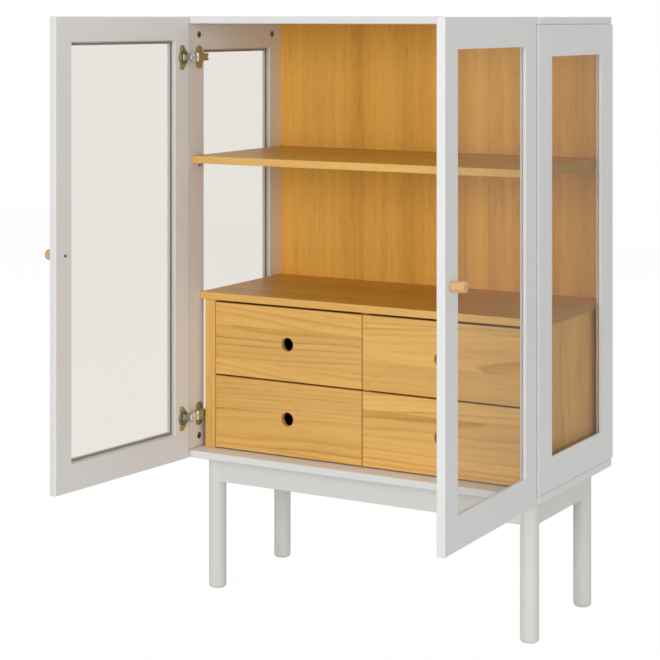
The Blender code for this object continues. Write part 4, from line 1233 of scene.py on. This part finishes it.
def slide_details(side, board, outwards, height):
    """What one slide shows on its drawer member, and on its intermediate member."""
    fittings = settings().fittings

    def along(depth, distance, towards=-1):
        """A place on the slide, facing back to its board, or away from it where towards is 1."""
        x = side * (board + outwards * depth)
        return on_case(x, SLIDE_FRONT + distance, height, (towards * side * outwards, 0, 0))

    # Painted shade: a slot is a dark plate on the web, where the hole would show shade
    def slots(depth, places, width, thickness):
        for distance, length in places:
            slot = cut_plate([slot_outline(length, width)], thickness)
            yield slot, raised(along(depth, distance), thickness), 1

    on_drawer = []
    for distance in SLIDE_SCREWS:
        place = along(DRAWER_WEB, distance)
        on_drawer += screw_parts(place, fittings.slide_screw_diameter, SLIDE_HEAD_HEIGHT)
    on_drawer += slots(DRAWER_WEB, DRAWER_SLOTS, DRAWER_SLOT_WIDTH, 2 * FACE_GAP)
    on_runner = list(slots(BOARD_WEB, RUNNER_SLOTS, RUNNER_SLOT_WIDTH, FACE_GAP))
    length = fittings.bumper_length
    outlines = [rectangle(length, BUMPER_HEIGHT), circle(BUMPER_HOLE, 12)]
    bumper = cut_plate(outlines, BUMPER_DEPTH, BUMPER_BEVEL)
    place = along(RUNNER_WEB + BUMPER_DEPTH, length / 2 + BUMPER_INSET, towards=1)
    on_runner.append((bumper, place, 2))
    return on_drawer, on_runner


class CABINET_OT_set_stage(Operator):
    """Sets the floor, the surround, the lamps and the camera"""

    bl_idname = "china_cabinet.set_stage"
    bl_label = "Set the Stage"

    def execute(self, context):
        stage = settings().stage
        scene = context.scene
        make_floor()
        make_surround(scene, stage.surround)
        for name, place, target, size in LAMPS:
            data = bpy.data.lights.new(f"{name} lamp", "AREA")
            data.shape = "DISK"
            data.size = size
            data.energy = getattr(stage, f"{name}_power")
            lamp = add_object(f"{name} lamp", data)
            lamp.location = MIDDLE + Vector(place)
            lamp.rotation_euler = (Vector(target) - Vector(place)).to_track_quat("-Z", "Y").to_euler()
        data = bpy.data.cameras.new("camera")
        data.lens = stage.lens
        data.sensor_width = 36
        data.shift_y = stage.shift
        camera = add_object("camera", data)
        camera.location = MIDDLE + Vector(stage.camera_place)
        camera.rotation_euler = (math.pi / 2, 0, stage.camera_turn)
        scene.camera = camera
        scene.view_settings.view_transform = "Standard"
        return {"FINISHED"}


def seen_directly(net):
    """1 for the rays that see a surface directly, in a reflection or through glass."""
    path = net.node("ShaderNodeLightPath").outputs
    direct = net.math("MAXIMUM", path["Is Camera Ray"], path["Is Glossy Ray"])
    return net.math("MAXIMUM", direct, path["Is Transmission Ray"])


def make_floor():
    """A plain pale floor that reads white and keeps a soft shadow."""
    shape = bmesh.new()
    bmesh.ops.create_grid(shape, x_segments=8, y_segments=8, size=FLOOR_SIZE / 2)
    floor = add_object("floor", shape_mesh("floor", shape))
    material, net, shader = new_material("pale floor")
    shader.inputs["Base Color"].default_value = (0.62, 0.62, 0.62, 1)
    shader.inputs["Roughness"].default_value = 0.9
    glow = net.node("ShaderNodeEmission", {"Strength": 1.08})
    show_mixed(net, net.times(seen_directly(net), 0.88), shader, glow)
    floor.data.materials.append(material)
    floor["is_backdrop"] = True


def make_surround(scene, strength):
    """A white world, softer as a light than it looks."""
    world = bpy.data.worlds.new("white surround")
    world.use_nodes = True
    scene.world = world
    net = Net(world.node_tree)
    background = net.tree.nodes["Background"]
    background.inputs["Color"].default_value = (1, 1, 1, 1)
    net.feed(background.inputs["Strength"], net.mix(seen_directly(net), strength, 1.0))


class CABINET_PT_sidebar(Panel):
    """The cabinet's sizes, colours and steps"""

    bl_label = "China Cabinet"
    bl_idname = "CABINET_PT_sidebar"
    bl_space_type = "VIEW_3D"
    bl_region_type = "UI"
    bl_category = "Cabinet"

    def draw(self, context):
        layout = self.layout
        for label in ("paint", "pine", "glass", "metal", "fittings", "stage"):
            group = getattr(settings(), label)
            box = layout.box()
            box.label(text=label.capitalize())
            for name in group.__annotations__:
                box.prop(group, name)
        for step in STEPS:
            layout.operator(step.bl_idname)


STEPS = (
    CABINET_OT_paint_case,
    CABINET_OT_paint_doors,
    CABINET_OT_paint_base,
    CABINET_OT_glaze,
    CABINET_OT_bed_panes,
    CABINET_OT_finish_pine,
    CABINET_OT_finish_drawers,
    CABINET_OT_finish_knobs,
    CABINET_OT_plate_slides,
    CABINET_OT_plate_hinges,
    CABINET_OT_fit_cams,
    CABINET_OT_fit_shelf_supports,
    CABINET_OT_fit_hinge_screws,
    CABINET_OT_fit_hinge_links,
    CABINET_OT_fit_slide_details,
    CABINET_OT_set_stage,
)
CLASSES = (
    PaintSettings,
    PineSettings,
    GlassSettings,
    MetalSettings,
    FittingSettings,
    StageSettings,
    CabinetSettings,
    *STEPS,
    CABINET_PT_sidebar,
)


def register():
    for cls in CLASSES:
        bpy.utils.register_class(cls)
    bpy.types.Scene.china_cabinet = PointerProperty(type=CabinetSettings)


def unregister():
    del bpy.types.Scene.china_cabinet
    for cls in reversed(CLASSES):
        bpy.utils.unregister_class(cls)


def main():
    register()
    for step in STEPS:
        group, name = step.bl_idname.split(".")
        getattr(getattr(bpy.ops, group), name)()
    boxes = {"cad": CAD_BOX, "visual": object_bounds()}
    sizes = {label: [list(low), list(high)] for label, (low, high) in boxes.items()}


if __name__ == "__main__":
    main()
